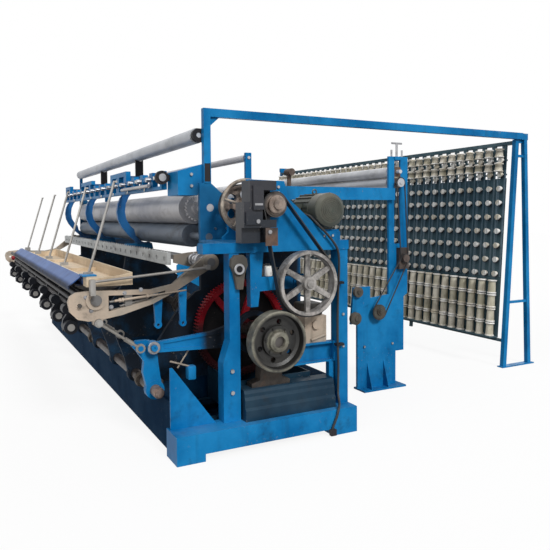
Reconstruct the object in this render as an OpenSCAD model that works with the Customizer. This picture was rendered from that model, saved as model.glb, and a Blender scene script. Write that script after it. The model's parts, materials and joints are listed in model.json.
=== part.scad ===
// Fishing net making machine: drive end, three working bays, net tray on
// swinging arms, take-up and feed rollers, and the creel that holds the twine
// spools. Machine axes: +X towards the drive end, -Y towards the net tray,
// +Y towards the creel, +Z up. Lengths are in millimetres.

/* [Overall] */
// Distance from the drive-end face to the inner side frame
drive_bay = 800; // [600:10:1200]
// Distance from the inner side frame to the first C-arm station
first_gap = 100; // [60:10:300]
// Spacing of the stand frames along the machine
bay_pitch = 1700; // [1200:10:2200]
// Depth of the drive-end sill, front to rear
sill_depth = 1388; // [1200:2:1600]
// Height of the drive-end sill
sill_height = 188; // [120:2:260]
// Width of the drive-end sill along the machine
sill_width = 215; // [160:5:280]
// Height of the two base plinths
plinth_height = 345; // [250:5:450]
// Underside height of the deck beam
deck_under = 1345; // [1200:5:1500]
// Top height of the deck beam and deck plate
deck_top = 1415; // [1300:5:1600]
// Top height of the main post and the portal beam
post_top = 2438; // [2200:2:2800]
// Height of the portal beam's section
portal_h = 65; // [40:1:90]

/* [Main drive] */
// Radius of the main shaft
main_r = 40; // [25:1:60]
// Depth position of the main shaft
main_y = 742; // [650:2:850]
// Height of the main shaft
main_z = 731; // [650:1:850]
// Module of the main gear pair
gear_module = 8; // [5:1:10]
// Teeth on the red main gear
gear_teeth = 92; // [60:1:120]
// Teeth on the wheel shaft pinion
pinion_teeth = 23; // [17:1:30]
// Direction from the main shaft to the wheel shaft, degrees above level
wheel_angle = 58; // [40:1:75]
// Radius of the wheel shaft
wheel_shaft_r = 30; // [20:1:40]
// Outer radius of the six-spoke belt wheel
belt_wheel_r = 232; // [180:2:280]
// Outer radius of the cast drum wheel on the main shaft
drum_wheel_r = 212; // [160:2:225]
// Radius of the clutch shaft
clutch_shaft_r = 28; // [18:1:40]
// Depth position of the clutch shaft
clutch_y = 727; // [660:1:800]
// Height of the clutch shaft
clutch_z = 1673; // [1600:1:1800]
// Radius of the small belt pulley on the clutch shaft
clutch_pulley_r = 85; // [60:1:95]
// Radius of the large belt pulley on the clutch shaft
driven_pulley_r = 160; // [120:2:170]
// Radius of the handwheel
handwheel_r = 208; // [150:2:230]
// Radius of the motor body
motor_r = 122; // [90:2:140]
// Depth position of the motor shaft
motor_y = 1210; // [1150:2:1300]
// Height of the motor shaft
motor_z = 1638; // [1600:2:1720]
// Radius of the pulley on the motor shaft
motor_pulley_r = 60; // [40:1:80]
// Thickness of the drive belts
belt_t = 8; // [5:1:12]

/* [Rollers] */
// Radius of the large take-up roller
drum_r = 130; // [100:2:135]
// Radius of the lower take-up roller
low_drum_r = 95; // [70:1:96]
// Radius of the rear take-up roller
back_drum_r = 90; // [70:1:92]
// Radius of every take-up roller journal
journal_r = 30; // [20:1:40]
// Radius of the top guide roller
top_roller_r = 60; // [40:1:80]
// Radius of the two feed rollers
feed_r = 50; // [40:1:50.5]
// Depth position of the feed rollers
feed_y = 2443; // [2300:1:2450]
// Height of the lower feed roller
feed_low_z = 1896; // [1850:2:1950]

/* [Net tray carriage] */
// Radius of the swing shaft under the rollers
swing_r = 30; // [20:1:40]
// Depth position of the swing shaft
swing_y = 396; // [360:1:430]
// Height of the swing shaft
swing_z = 1271; // [1240:1:1290]
// Radius of the tube that joins the two end arms
carriage_tube_r = 36; // [25:1:45]
// Depth of the net tray, front to rear
tray_depth = 300; // [180:5:320]
// Thickness of the tray boards
board_t = 9; // [5:1:15]
// Joint gap between neighbouring tray boards
board_gap = 0.3; // [0.2:0.1:1]
// Number of cells along the net tray
tray_cells = 3; // [2:1:8]
// Radius of the upright guide rods
upright_r = 9; // [6:1:14]
// Spacing of the net hooks along the sliding bar
hook_pitch = 81; // [60:1:120]
// Spacing of the slots in the sliding hook bar
hook_slot_pitch = 208; // [150:2:300]
// Spacing of the yarn finger slots along the lattice beam
finger_pitch = 298; // [200:2:400]
// Radius of the rock shaft along the front
rock_r = 38; // [25:1:40]
// Height of the rock shaft
rock_z = 393; // [390:1:430]

/* [Creel] */
// Spacing of the creel columns
column_pitch = 140; // [110:5:180]
// Number of creel columns
column_count = 36; // [20:1:37]
// Spacing of the guide cup rows
row_pitch = 150; // [120:5:165]
// Number of guide cup rows
row_count = 9; // [5:1:9]
// Outer radius of a guide cup
cup_r = 20; // [15:1:42]
// Length of a guide cup
cup_len = 38; // [15:1:40]
// Width of a creel column
column_w = 60; // [20:2:90]
// Radius of a stacked twine spool
spool_r = 50; // [30:1:62]
// Difference of radius between the foot and the top of a spool
spool_taper = 14; // [5:1:40]
// Height of a stacked twine spool, flange included
spool_h = 150; // [80:2:150]

/* [Fits] */
// Radial running clearance of every shaft in its bearing
fit = 0.05; // [0.01:0.01:0.1]
// Gap between a belt or chain and the pulley it runs on
belt_gap = 0.3; // [0.2:0.1:1]

/* [Hidden] */
$fn = 64;
plate_t = 40;
x_in = -drive_bay;
x_far = x_in - first_gap - 3 * bay_pitch;
stand_x = [x_in - first_gap - bay_pitch, x_in - first_gap - 2 * bay_pitch];
wheel_dist = gear_module * (gear_teeth + pinion_teeth) / 2;
wheel_y = main_y + wheel_dist * cos(wheel_angle);
wheel_z = main_z + wheel_dist * sin(wheel_angle);
gear_x = x_in + 110;
gear_w = 70;
end_x0 = -sill_width;
end_x1 = -120;
bench_x0 = end_x1 - 15;
bench_x1 = end_x1 + 5;
belt_x0 = -65;
belt_x1 = -5;
pulley_x0 = -640;
pulley_x1 = -560;
drum_y = 560;
drum_z = 1665;
low_y = 548;
low_z = 1436;
back_y = 770;
back_z = 1580;
barrel_x1 = x_in - 380;
barrel_x0 = x_far + 100;
top_y = 490;
top_z = 2232;
guide_y = 881;
guide_z = 2064;
guide_r = 28;
guide_block_r = 36;
feed_up_z = feed_low_z + 2 * feed_r + 2;
feed_shaft_z = 718;
low_pulley_z = 675;
high_pulley_z = 911;
arm_x0 = -430;
arm_x1 = -380;
far_arm_x0 = x_far - 90;
far_arm_x1 = x_far - 40;
rock_y = -9;
pin_y = -28;
pin_z = rock_z + 306;
boss_y = -127;
boss_z = rock_z + 317;
lug_y = -400;
lug_z = 905;
beam_z = 1815;
lug_pin_r = 12;
rod_x = arm_x1 + 20;
lever_x = [
    x_in - 160, stand_x[0] + 1040, stand_x[0] + 300, stand_x[1] + 1100, stand_x[1] + 300,
    x_far + 1100, x_far + 200
];
tube_y = -413;
tube_z = 1054;
tray_z = 1150;
tray_x1 = -372;
tray_x0 = stand_x[1] + 450;
tray_front = -470;
rail_x0 = stand_x[1] - 400;
rod_out_x = arm_x1 + 58;
rod_xs = [
    tray_x1 - 118, stand_x[0] + 1090, stand_x[0] + 180, tray_x0 + 550, stand_x[1] - 60
];
link_a_at = [21, 1043];
link_b_at = [201, 1156];
feed_x = x_in - 75;
beam_under = post_top - portal_h;
panel_top = beam_under - 7;
stack_z = 312;
stack_count = 4;
first_row_z = stack_z + stack_count * spool_h + 48;
rows = min(row_count, floor((panel_top - 105 - first_row_z) / row_pitch) + 1);
creel_foot_y = 3804;
creel_lean = 3.82;
creel_x1 = -820;
creel_x0 = x_far - 40;
first_column_x = -975;
machine_front = -586;
machine_back = 4252;
machine_out = 43;
machine_far = x_far - 100;
shift_x = -(machine_out + machine_far) / 2;
shift_y = -(machine_front + machine_back) / 2;
blue = [0.05, 0.42, 0.78];
navy = [0.06, 0.14, 0.28];
cream = [0.72, 0.66, 0.56];
steel = [0.66, 0.67, 0.69];
grey = [0.5, 0.5, 0.53];
iron = [0.38, 0.35, 0.31];
rust = [0.42, 0.27, 0.2];
black = [0.06, 0.06, 0.07];

// Power cable route: from the motor terminal box, over the bench edge, down
// between the rear column and the flat strip, and into the gland on the sill.
cable_r = 9;
cable_route = [
    [-289, 1066, 1606], [-240, 1066, 1606], [-180, 1068, 1604], [-130, 1076, 1590],
    [-98, 1104, 1546], [-86, 1158, 1490], [-84, 1226, 1420], [-86, 1280, 1340],
    [-92, 1294, 1220], [-95, 1288, 1050], [-95, 1282, 840], [-96, 1284, 620],
    [-95, 1288, 480], [-94, 1284, 350], [-82, 1276, 272], [-46, 1262, 226],
    [-18, 1244, 213], [6, 1226, 206], [18, 1212, 184], [20, 1198, 140],
    [16, 1178, 92], [13, 1168, 64], [13, 1168, 44]
];

// Places machine coordinates so that the origin is under the middle.
module place() {
    translate([shift_x, shift_y, 0])
        children();
}

module box(x0, x1, y0, y1, z0, z1) {
    translate([x0, y0, z0])
        cube([x1 - x0, y1 - y0, z1 - z0]);
}

// Round bar along X.
module bar(x0, x1, y, z, r) {
    translate([x0, y, z])
        rotate([0, 90, 0])
            cylinder(h = x1 - x0, r = r);
}

// Flat plate in the depth-height plane, from x0 to x1.
module plate(x0, x1, pts) {
    translate([x0, 0, 0])
        rotate([90, 0, 90])
            linear_extrude(x1 - x0)
                polygon(pts);
}

// Straight bar on a square or round section between two points of one X.
module strut(x, y0, z0, y1, z1, r) {
    len = sqrt((y1 - y0) * (y1 - y0) + (z1 - z0) * (z1 - z0));
    translate([x, y0, z0])
        rotate([-atan2(y1 - y0, z1 - z0), 0, 0])
            cylinder(h = len, r = r);
}

// Turned body on an X axis; profile points are [radius, x].
module turned(y, z, pts) {
    translate([0, y, z])
        rotate([0, 90, 0])
            rotate_extrude()
                polygon(pts);
}

// Gear outline with straight-flanked teeth.
module gear_outline(teeth, turn) {
    r = gear_module * teeth / 2;
    tip = r + 0.85 * gear_module;
    root = r - 1.15 * gear_module;
    step = 360 / teeth;
    polygon([
        for (i = [0:teeth - 1])
            for (k = [[root, -0.31], [tip, -0.14], [tip, 0.14], [root, 0.31]])
                [k[0] * cos(turn + (i + k[1]) * step), k[0] * sin(turn + (i + k[1]) * step)]
    ]);
}

// Belt or chain loop around two wheels in one depth-height plane.
module belt_loop(x0, x1, ya, za, ra, yb, zb, rb, t) {
    translate([x0, 0, 0])
        rotate([90, 0, 90])
            linear_extrude(x1 - x0)
                difference() {
                    loop_shape(ya, za, ra + belt_gap + t, yb, zb, rb + belt_gap + t);
                    loop_shape(ya, za, ra + belt_gap, yb, zb, rb + belt_gap);
                }
}

// Two discs and the four-sided area between their outer tangents.
module loop_shape(ya, za, ra, yb, zb, rb) {
    d = sqrt((yb - ya) * (yb - ya) + (zb - za) * (zb - za));
    line = atan2(zb - za, yb - ya);
    a = acos((ra - rb) / d);
    translate([ya, za])
        circle(r = ra);
    translate([yb, zb])
        circle(r = rb);
    polygon([
        [ya + ra * cos(line + a), za + ra * sin(line + a)],
        [yb + rb * cos(line + a), zb + rb * sin(line + a)],
        [yb + rb * cos(line - a), zb + rb * sin(line - a)],
        [ya + ra * cos(line - a), za + ra * sin(line - a)]
    ]);
}

// ---------------------------------------------------------------- drive end

module end_sill() {
    color(blue)
        difference() {
            plate(end_x0, 0, [
                [0, 0], [196, 0], [196, 50], [sill_depth - 211, 50],
                [sill_depth - 211, 0], [sill_depth, 0],
                [sill_depth, sill_height], [0, sill_height]
            ]);
            box(end_x0 + 12, -12, 208, sill_depth - 223, -1, sill_height - 14);
        }
}

module oil_box() {
    translate([0, 1240, 0])
        rotate([90, 0, 0])
            linear_extrude(725)
                polygon([
                    [end_x0, sill_height], [-60, sill_height], [-60, 262], [-74, 280],
                    [-74, 330], [-84, 352], [-84, 374], [-96, 394], [-112, 400],
                    [end_x0, 400]
                ]);
}

module end_frame() {
    color(blue) {
        plate(end_x0, end_x1, [
            [375, sill_height], [502, sill_height], [502, 790], [496, deck_under],
            [424, deck_under], [424, 750], [375, 598]
        ]);
        box(end_x0, end_x1, 1300, sill_depth, sill_height, deck_under);
        box(end_x0 + 20, end_x1 - 30, 1240, 1280, sill_height, 505);
        difference() {
            box(end_x0, end_x0 + 55, 850, 1301, 505, 655);
            box(end_x0 + 12, end_x0 + 56, 862, 1288, 519, 641);
        }
        plate(-175, -160, [
            [12, sill_height], [332, sill_height], [30, 600], [12, 600]
        ]);
        middle_leg();
    }
}

// Leg under the deck beam with the arm that carries the belt wheel's bearing.
module middle_leg() {
    difference() {
        union() {
            plate(end_x0 + 20, end_x1 - 10, [
                [585, deck_under], [690, deck_under], [674, 1172], [940, 1162],
                [940, 1080], [660, 1072], [646, 965], [590, 965]
            ]);
            bar(end_x0 + 5, end_x1 + 5, wheel_y, wheel_z, 62);
        }
        bar(end_x0, end_x1 + 10, wheel_y, wheel_z, wheel_shaft_r + fit);
    }
}

module deck() {
    color(blue) {
        box(end_x0, end_x1 + 5, 235, 1395, deck_under + 0.5, deck_top);
        box(x_in, end_x0 + 1, 475, 1320, deck_top - 20, deck_top);
    }
}

module motor_bench() {
    color(blue) {
        difference() {
            union() {
                plate(bench_x0, bench_x1, [
                    [560, deck_top], [560, 1850], [850, 1842], [884, 1722],
                    [1110, 1530], [1170, 1480], [1320, 1480], [1320, deck_top]
                ]);
                bar(bench_x0 - 45, bench_x0 + 1, clutch_y, clutch_z, 55);
                box(-520, bench_x0 + 1, 1090, 1320, deck_top, 1495);
            }
            bar(bench_x0 - 50, bench_x1 + 5, clutch_y, clutch_z, clutch_shaft_r + fit);
        }
        difference() {
            plate(-720, -680, [
                [620, deck_top], [834, deck_top], [834, deck_top + 20], [790, deck_top + 60],
                [790, clutch_z + 40], [760, clutch_z + 66], [694, clutch_z + 66],
                [664, clutch_z + 40], [664, deck_top + 60], [620, deck_top + 20]
            ]);
            bar(-721, -679, clutch_y, clutch_z, clutch_shaft_r + fit);
        }
    }
}

module clutch_housing() {
    color(black) {
        difference() {
            union() {
                box(bench_x1, 22, 520, 716, 1600, 1835);
                box(bench_x1, 22, 474, 716, deck_top + 0.5, 1690);
            }
            box(belt_x0 - 8, 23, 612, 717, 1572, 1770);
            box(belt_x0 - 8, 2, 612, 717, 1398, 1573);
            box(-20, 23, 470, 720, 1400, 1520);
            box(bench_x1 - 1, belt_x0 - 7, 655, 717, 1600, 1746);
        }
        box(21, 40, 536, 612, 1640, 1800);
        box(21, 36, 484, 600, 1540, 1625);
    }
}

module shaft_pedestal() {
    color(rust)
        difference() {
            plate(end_x0 + 5, end_x1 - 5, [
                [590, 400], [892, 400], [892, 428], [830, 446], [815, 600],
                [822, main_z], [790, main_z + 62], [742, main_z + 82], [694, main_z + 62],
                [662, main_z], [669, 600], [654, 446], [590, 428]
            ]);
            bar(end_x0, end_x1, main_y, main_z, main_r + fit);
        }
}

// Pear-shaped bearing on the front column, and the oil cup on the middle leg.
module column_bearing() {
    color(cream) {
        difference() {
            plate(end_x1 + 0.5, end_x1 + 34, [
                [424, 1262], [428, 1306], [456, 1334], [516, 1334], [544, 1306], [548, 1262],
                [528, 1210], [512, 1100], [470, 1100], [448, 1210]
            ]);
            bar(end_x1 + 14, end_x1 + 36, 478, 1240, 22);
        }
        difference() {
            bar(end_x1 + 33, end_x1 + 50, 478, 1240, 40);
            bar(end_x1 + 14, end_x1 + 51, 478, 1240, 22);
        }
        translate([-162, 742, 1171.5])
            cylinder(h = 62, r = 25);
    }
}

module pump_box() {
    color([0.55, 0.55, 0.5]) {
        box(-400, -180, 1050, 1236, 655, 852);
        bar(-180, -160, 1143, 790, 34);
        strut(-174, 1100, 676, 1228, 706, 9);
    }
}

module oil_pan() {
    color(navy) {
        difference() {
            box(x_in + 40, end_x0 - 20, 505, 1125, 190, 430);
            box(x_in + 52, end_x0 - 32, 517, 1113, 200, 431);
        }
        for (x = [x_in + 60, end_x0 - 90])
            box(x, x + 50, 230.5, 1169.5, 150, 190.5);
        oil_box();
    }
}

// ----------------------------------------------------- base and side frames

module base_plinths() {
    color(navy) {
        box(x_far - 40, end_x0, 40, 230, 0, plinth_height);
        box(x_far - 40, end_x0, 1170, 1370, 0, plinth_height);
        for (x = [x_in, stand_x[0], stand_x[1], x_far + plate_t])
            box(x - plate_t, x, 229, 1171, 40, plinth_height);
        box(x_in - 1, end_x0 - 0.5, 229, 1171, 60, 66);
    }
}

module side_frame(x0) {
    difference() {
        union() {
            plate(x0, x0 + plate_t, [
                [60, plinth_height], [60, 560], [300, 900], [430, 1010], [475, 1023],
                [475, 1857], [569, 1857], [720, 1726], [830, 1640], [830, 1500],
                [720, 1440], [720, deck_top - 21], [1300, deck_top - 21], [1370, 1300],
                [1370, plinth_height]
            ]);
        }
        bar(x0 - 1, x0 + plate_t + 1, main_y, main_z, main_r + fit);
        bar(x0 - 1, x0 + plate_t + 1, drum_y, drum_z, journal_r + fit);
        bar(x0 - 1, x0 + plate_t + 1, low_y, low_z, journal_r + fit);
        bar(x0 - 1, x0 + plate_t + 1, back_y, back_z, journal_r + fit);
    }
}

module inner_frame() {
    color(blue)
        difference() {
            side_frame(x_in - plate_t);
            bar(x_in - plate_t - 1, x_in + 1, wheel_y, wheel_z, wheel_shaft_r + fit);
        }
}

module far_frame() {
    color(blue)
        side_frame(x_far);
}

module stand_plate(x0) {
    color(blue)
        difference() {
            plate(x0, x0 + plate_t, [
                [60, plinth_height], [60, 560], [290, 900], [330, 1180], [330, 1320],
                [612, 1320], [640, 1180], [900, 960], [1370, 700], [1370, plinth_height]
            ]);
            bar(x0 - 1, x0 + plate_t + 1, main_y, main_z, main_r + fit);
            bar(x0 - 1, x0 + plate_t + 1, swing_y, swing_z, swing_r + fit);
        }
}

module stand_frames() {
    for (x = stand_x)
        stand_plate(x - plate_t);
}

// C-shaped arm bolted on a stand head, curving forward round the rollers.
module c_arm(x0) {
    color(blue)
        difference() {
            plate(x0, x0 + 46, [
                [461, 1320.5], [378, 1395], [298, 1492], [262, 1565], [250, 1648],
                [262, 1730], [288, 1790], [308, 1812], [308, 2017], [504, 2017],
                [470, 1930], [429, 1873], [372, 1800], [342, 1730], [332, 1648],
                [346, 1570], [384, 1505], [423, 1470], [440, 1400], [612, 1320.5]
            ]);
            bar(x0 - 1, x0 + 47, low_y, low_z, low_drum_r + 8);
        }
}

module c_arms() {
    for (x = stand_x)
        c_arm(x - 43);
    c_arm(x_far + plate_t);
    color(blue)
        plate(x_far + plate_t, x_far + plate_t + 46, [
            [475, 1180], [612, 1180], [612, 1321], [461, 1321], [461, 1240]
        ]);
}

// Number of finger slots that fit on the lattice beam, with 60 mm left at its end.
finger_slots = floor((x_in - 550 - (x_far + 90) - 60) / finger_pitch) + 1;

// Slotted beam along the tops of the C-arms, higher over each arm.
module lattice_beam() {
    color(blue)
        difference() {
            union() {
                box(x_far + 90, x_in - 300.5, 262, 307.5, beam_z, beam_z + 150);
                for (x = stand_x)
                    box(x - 330, x + 350, 262, 307.5, beam_z + 149, beam_z + 222);
                box(x_far + 90, x_far + 480, 262, 307.5, beam_z + 149, beam_z + 222);
            }
            for (i = [0:finger_slots - 1], z = [beam_z + 28, beam_z + 120])
                box(x_in - 550 - i * finger_pitch, x_in - 350 - i * finger_pitch, 250, 320, z, z + 56);
        }
}

// Yarn finger pivots and their clamps along the lattice beam.
module lattice_fittings() {
    color(steel)
        for (i = [0:finger_slots - 2])
            translate([x_in - 600 - i * finger_pitch, 0, beam_z + 92])
                rotate([90, 0, 0])
                    translate([0, 0, -261.5])
                        cylinder(h = 44, r = 20);
    color(steel)
        bar(x_in - 1500, x_in - 560, 232, beam_z + 40, 15);
}

module cover_box() {
    color(blue)
        plate(x_in - 300, x_in - plate_t, [
            [312, 1762], [474, 1762], [474, 1858], [510, 1858], [510, 2006], [312, 1946]
        ]);
}

module main_post() {
    color(blue) {
        difference() {
            box(x_in - 45, x_in + 5, 511, 569, 1857.5, post_top);
            box(x_in - 10, x_in + 6, 515, 565, 1868, 2010);
        }
        plate(x_in - 25, x_in - 15, [
            [568, beam_under - 0.5], [568, beam_under - 73], [650, beam_under - 0.5]
        ]);
    }
}

module portal_beam() {
    color(blue)
        box(x_in - 45, x_in + 5, 569.5, 4040, beam_under, post_top);
}

// Bearing plate that hangs the top roller beside the main post, the props on
// two C-arms under the roller, and the dark insert in the post.
module top_bearings() {
    color(black) {
        difference() {
            union() {
                box(x_in - 85, x_in - 45.5, 470, 569, 2180, 2284);
                bar(x_in - 85, x_in - 45.5, top_y, top_z, 52);
            }
            bar(x_in - 86, x_in - 45, top_y, top_z, 20 + fit);
        }
        for (x = stand_x)
            difference() {
                box(x - 20, x, 450, 530, 2017.5, top_z - 37);
                bar(x - 21, x + 1, top_y, top_z, top_roller_r + 2);
            }
        box(x_in - 10, x_in, 515, 565, 1868, 2010);
        box(x_in - 262, x_in - 240, 222, 311.5, beam_z + 66, beam_z + 116);
        bar(x_in - 240.5, x_in - 205, 240, beam_z + 91, 54);
    }
}

module far_post() {
    color(blue)
        difference() {
            union() {
                box(x_far + 5, x_far + 35, 480, 520, 1857.5, top_z + 10);
                bar(x_far + 5, x_far + 35, top_y, top_z, 40);
            }
            bar(x_far + 4, x_far + 36, top_y, top_z, 20 + fit);
        }
}

module guide_post(x0, z0) {
    difference() {
        box(x0, x0 + 30, 855, 905, z0, guide_z + 40);
        bar(x0 - 1, x0 + 31, guide_y, guide_z, 12 + fit);
    }
}

module rear_posts() {
    color(blue) {
        guide_post(x_in + 2, deck_top);
        guide_post(x_far, deck_top - 20.5);
        box(x_in - plate_t, x_in, 1225, 1297, deck_top - 20.5, 1845);
        box(x_far, x_far + plate_t, 1225, 1297, deck_top - 20.5, 1845);
    }
}

module tie_beams() {
    color(blue) {
        box(feed_x + 24.5, x_in - 8, 1297.5, feed_y - 60, 1735, 1845);
        box(x_far + 11, x_far + 33, 1297.5, feed_y - 100.5, 1735, 1845);
    }
}

// Cast blocks left in rusty brown: roller end blocks, chain idler, belt guard
// plate and the bracket on the near tie post.
module rust_castings() {
    color(rust) {
        for (x = [feed_x, x_far + 10])
            for (z = [feed_low_z, feed_up_z])
                difference() {
                    box(x, x + 24, feed_y - 35.5, feed_y + 35.5, z - 44, z + 44);
                    bar(x - 1, x + 25, feed_y, z, 18 + fit);
                }
        box(feed_x + 24.5, x_in - 8, feed_y - 10, feed_y + 100, 1095, 1293);
        bar(x_in - 9, x_in + 30, feed_y + 45, 1194, guide_block_r);
        box(x_in - 30, x_in - 8, 1262, 1290, 1845.5, 1940);
        bar(x_in - 60, x_in + 30, 1278, 1962, 30);
        box(22.5, 28, 630, 722, 1396, 1518);
    }
}

// Arms from the stand heads that carry the hook bar; the swing shaft turns in
// the two that stand beside the side frames.
module hook_bracket(x0) {
    difference() {
        plate(x0, x0 + 30, [
            [264, 1243], [330, 1225], [380, 1212], [474.5, 1195], [474.5, 1325],
            [380, 1318], [264, 1303]
        ]);
        bar(x0 - 1, x0 + 31, swing_y, swing_z, swing_r + fit);
    }
}

module shaft_brackets() {
    color(cream) {
        hook_bracket(x_in - plate_t);
        hook_bracket(x_far + 5);
        for (x = stand_x)
            plate(x - plate_t, x - 10, [
                [264, 1243], [329.5, 1225], [329.5, 1303], [264, 1303]
            ]);
        for (x = [x_in + 70, stand_x[0] + 70, stand_x[1] + 70, x_far + 110])
            rock_bearing(x);
    }
}

module rock_bearing(x) {
    difference() {
        plate(x - 60, x, [
            [38, plinth_height + 0.5], [140, plinth_height + 0.5], [140, 372], [60, 440],
            [rock_y, rock_z + 60], [rock_y - 50, rock_z + 30], [rock_y - 58, rock_z],
            [rock_y - 44, rock_z - 40], [rock_y, rock_z - 58]
        ]);
        bar(x - 61, x + 1, rock_y, rock_z, rock_r + fit);
    }
}

// ------------------------------------------------------------- main rotation

module main_shaft() {
    color(steel) {
        bar(x_far - 30, -10, main_y, main_z, main_r);
        for (x = [x_in - 400, stand_x[0] + 500, stand_x[0] - 450, stand_x[1] + 500, stand_x[1] - 450]) {
            translate([0, 34, 0])
                bar(x - 30, x, main_y, main_z, 120);
            bar(x - 55, x + 25, main_y, main_z, 66);
        }
        bar(arm_x0 - 4, arm_x1 + 4, main_y, main_z + 34, 52);
    }
}

module main_gear() {
    color([0.72, 0.05, 0.07])
        difference() {
            union() {
                translate([gear_x, main_y, main_z])
                    rotate([90, 0, 90])
                        linear_extrude(gear_w)
                            difference() {
                                gear_outline(gear_teeth, wheel_angle);
                                circle(r = gear_module * gear_teeth / 2 - 44);
                            }
                for (i = [0:5])
                    translate([gear_x + 18, main_y, main_z])
                        rotate([i * 60 + 10, 0, 0])
                            translate([0, 60, -24])
                                cube([34, gear_module * gear_teeth / 2 - 92, 48]);
                bar(gear_x - 10, gear_x + gear_w + 10, main_y, main_z, 84);
            }
            bar(gear_x - 11, gear_x + gear_w + 11, main_y, main_z, main_r);
        }
}

// Black web plate behind the spokes of the main gear.
module gear_web() {
    color(black)
        difference() {
            bar(gear_x + 4, gear_x + 17.5, main_y, main_z, gear_module * gear_teeth / 2 - 44.5);
            bar(gear_x + 3, gear_x + 18, main_y, main_z, 84.5);
        }
}

module drum_wheel() {
    color(iron)
        difference() {
            turned(main_y, main_z, [
                [main_r, -105], [78, -105], [78, -80], [drum_wheel_r, -80],
                [drum_wheel_r, 4], [drum_wheel_r - 8, 10], [drum_wheel_r - 26, 10],
                [drum_wheel_r - 32, -36], [158, -48], [112, -48], [108, -22],
                [72, -22], [70, 8], [54, 16], [main_r, 16]
            ]);
            for (i = [0:5])
                rotate_about(main_y, main_z, i * 60 + 20)
                    bar(-90, -40, main_y + 134, main_z, 19);
        }
    color(steel)
        for (i = [0:5])
            rotate_about(main_y, main_z, i * 60 + 50)
                hex_bolt(-22.5, main_y + 91, main_z, 11, 12);
}

module rotate_about(y, z, a) {
    translate([0, y, z])
        rotate([a, 0, 0])
            translate([0, -y, -z])
                children();
}

module belt_wheel() {
    color([0.5, 0.46, 0.43]) {
        turned(wheel_y, wheel_z, [
            [belt_wheel_r - 26, -74], [belt_wheel_r - 3, -76], [belt_wheel_r, -35],
            [belt_wheel_r - 3, 6], [belt_wheel_r - 26, 4], [belt_wheel_r - 20, -35]
        ]);
        turned(wheel_y, wheel_z, [[0, -96], [50, -96], [54, -35], [48, 14], [0, 14]]);
        for (i = [0:5])
            translate([-46, wheel_y, wheel_z])
                rotate([i * 60 + 30, 0, 0])
                    rotate([90, 0, 90])
                        linear_extrude(24)
                            polygon([[40, -22], [40, 22], [216, 17], [216, -17]]);
        bar(x_in - plate_t - 20, 26, wheel_y, wheel_z, wheel_shaft_r);
        translate([gear_x, wheel_y, wheel_z])
            rotate([90, 0, 90])
                linear_extrude(gear_w)
                    gear_outline(pinion_teeth, wheel_angle + 180 + 180 / pinion_teeth);
    }
}

module clutch_shaft() {
    color(iron) {
        bar(-745, 30, clutch_y, clutch_z, clutch_shaft_r);
        turned(clutch_y, clutch_z, [
            [0, -68], [60, -68], [60, -62], [clutch_pulley_r, -62],
            [clutch_pulley_r, -8], [0, -8]
        ]);
        difference() {
            turned(clutch_y, clutch_z, [
                [0, -660], [48, -660], [48, -622], [driven_pulley_r - 18, -622],
                [driven_pulley_r - 18, pulley_x0], [driven_pulley_r, pulley_x0],
                [driven_pulley_r, pulley_x1], [driven_pulley_r - 18, pulley_x1],
                [driven_pulley_r - 18, -578], [48, -578], [48, -545], [0, -545]
            ]);
            for (i = [0:4])
                rotate_about(clutch_y, clutch_z, i * 72)
                    bar(-623, -577, clutch_y + driven_pulley_r - 65, clutch_z, 38);
        }
        turned(clutch_y, clutch_z, [
            [0, -4], [64, -4], [64, 16], [58, 22], [34, 22], [32, 36], [0, 36]
        ]);
    }
}

module handwheel() {
    color(cream) {
        difference() {
            union() {
                turned(clutch_y, clutch_z, [
                    [clutch_shaft_r, -520], [44, -520], [44, -458], [clutch_shaft_r, -458]
                ]);
                for (i = [0:4])
                    rotate_about(clutch_y, clutch_z, i * 72 + 20)
                        translate([-489, clutch_y + 38, clutch_z])
                            rotate([-90, 0, 0])
                                cylinder(h = handwheel_r - 50, r = 11);
            }
            bar(-521, -457, clutch_y, clutch_z, clutch_shaft_r);
        }
        translate([-489, clutch_y, clutch_z])
            rotate([0, 90, 0])
                rotate_extrude()
                    translate([handwheel_r - 14, 0])
                        circle(r = 14);
    }
}

module drive_belts() {
    color(black) {
        belt_loop(belt_x0 + 5, belt_x1 - 5, clutch_y, clutch_z, clutch_pulley_r,
            wheel_y, wheel_z, belt_wheel_r, belt_t);
        belt_loop(pulley_x0 + 8, pulley_x1 - 8, motor_y, motor_z, motor_pulley_r,
            clutch_y, clutch_z, driven_pulley_r, belt_t);
        belt_loop(x_in - 5, x_in + 3, feed_y, feed_low_z, 40, feed_y + 45, 1194, guide_block_r, 9);
        belt_loop(x_in + 6, x_in + 14, feed_y + 45, 1194, guide_block_r,
            feed_y - 251, feed_shaft_z, 66, 9);
    }
}

module motor_body() {
    color([0.3, 0.36, 0.31])
        difference() {
            union() {
                turned(motor_y, motor_z, [
                    [0, -495], [52, -495], [58, -478], [104, -470], [motor_r - 6, -455],
                    [motor_r - 6, -205], [motor_r, -200], [motor_r + 4, -100],
                    [motor_r, -82], [98, -66], [60, -62], [0, -60]
                ]);
                for (i = [0:17])
                    rotate_about(motor_y, motor_z, i * 20)
                        box(-450, -206, motor_y - 2.5, motor_y + 2.5, motor_z + 100, motor_z + motor_r + 4);
                box(-440, -400, motor_y - 105, motor_y + 105, 1495, 1540);
                box(-250, -210, motor_y - 105, motor_y + 105, 1495, 1540);
                box(-430, -230, motor_y - 70, motor_y + 70, 1512, 1560);
                box(-380, -290, motor_y - 172, motor_y - 90, motor_z - 60, motor_z + 50);
            }
            bar(-496, -300, motor_y, motor_z, 19 + fit);
        }
}

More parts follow.
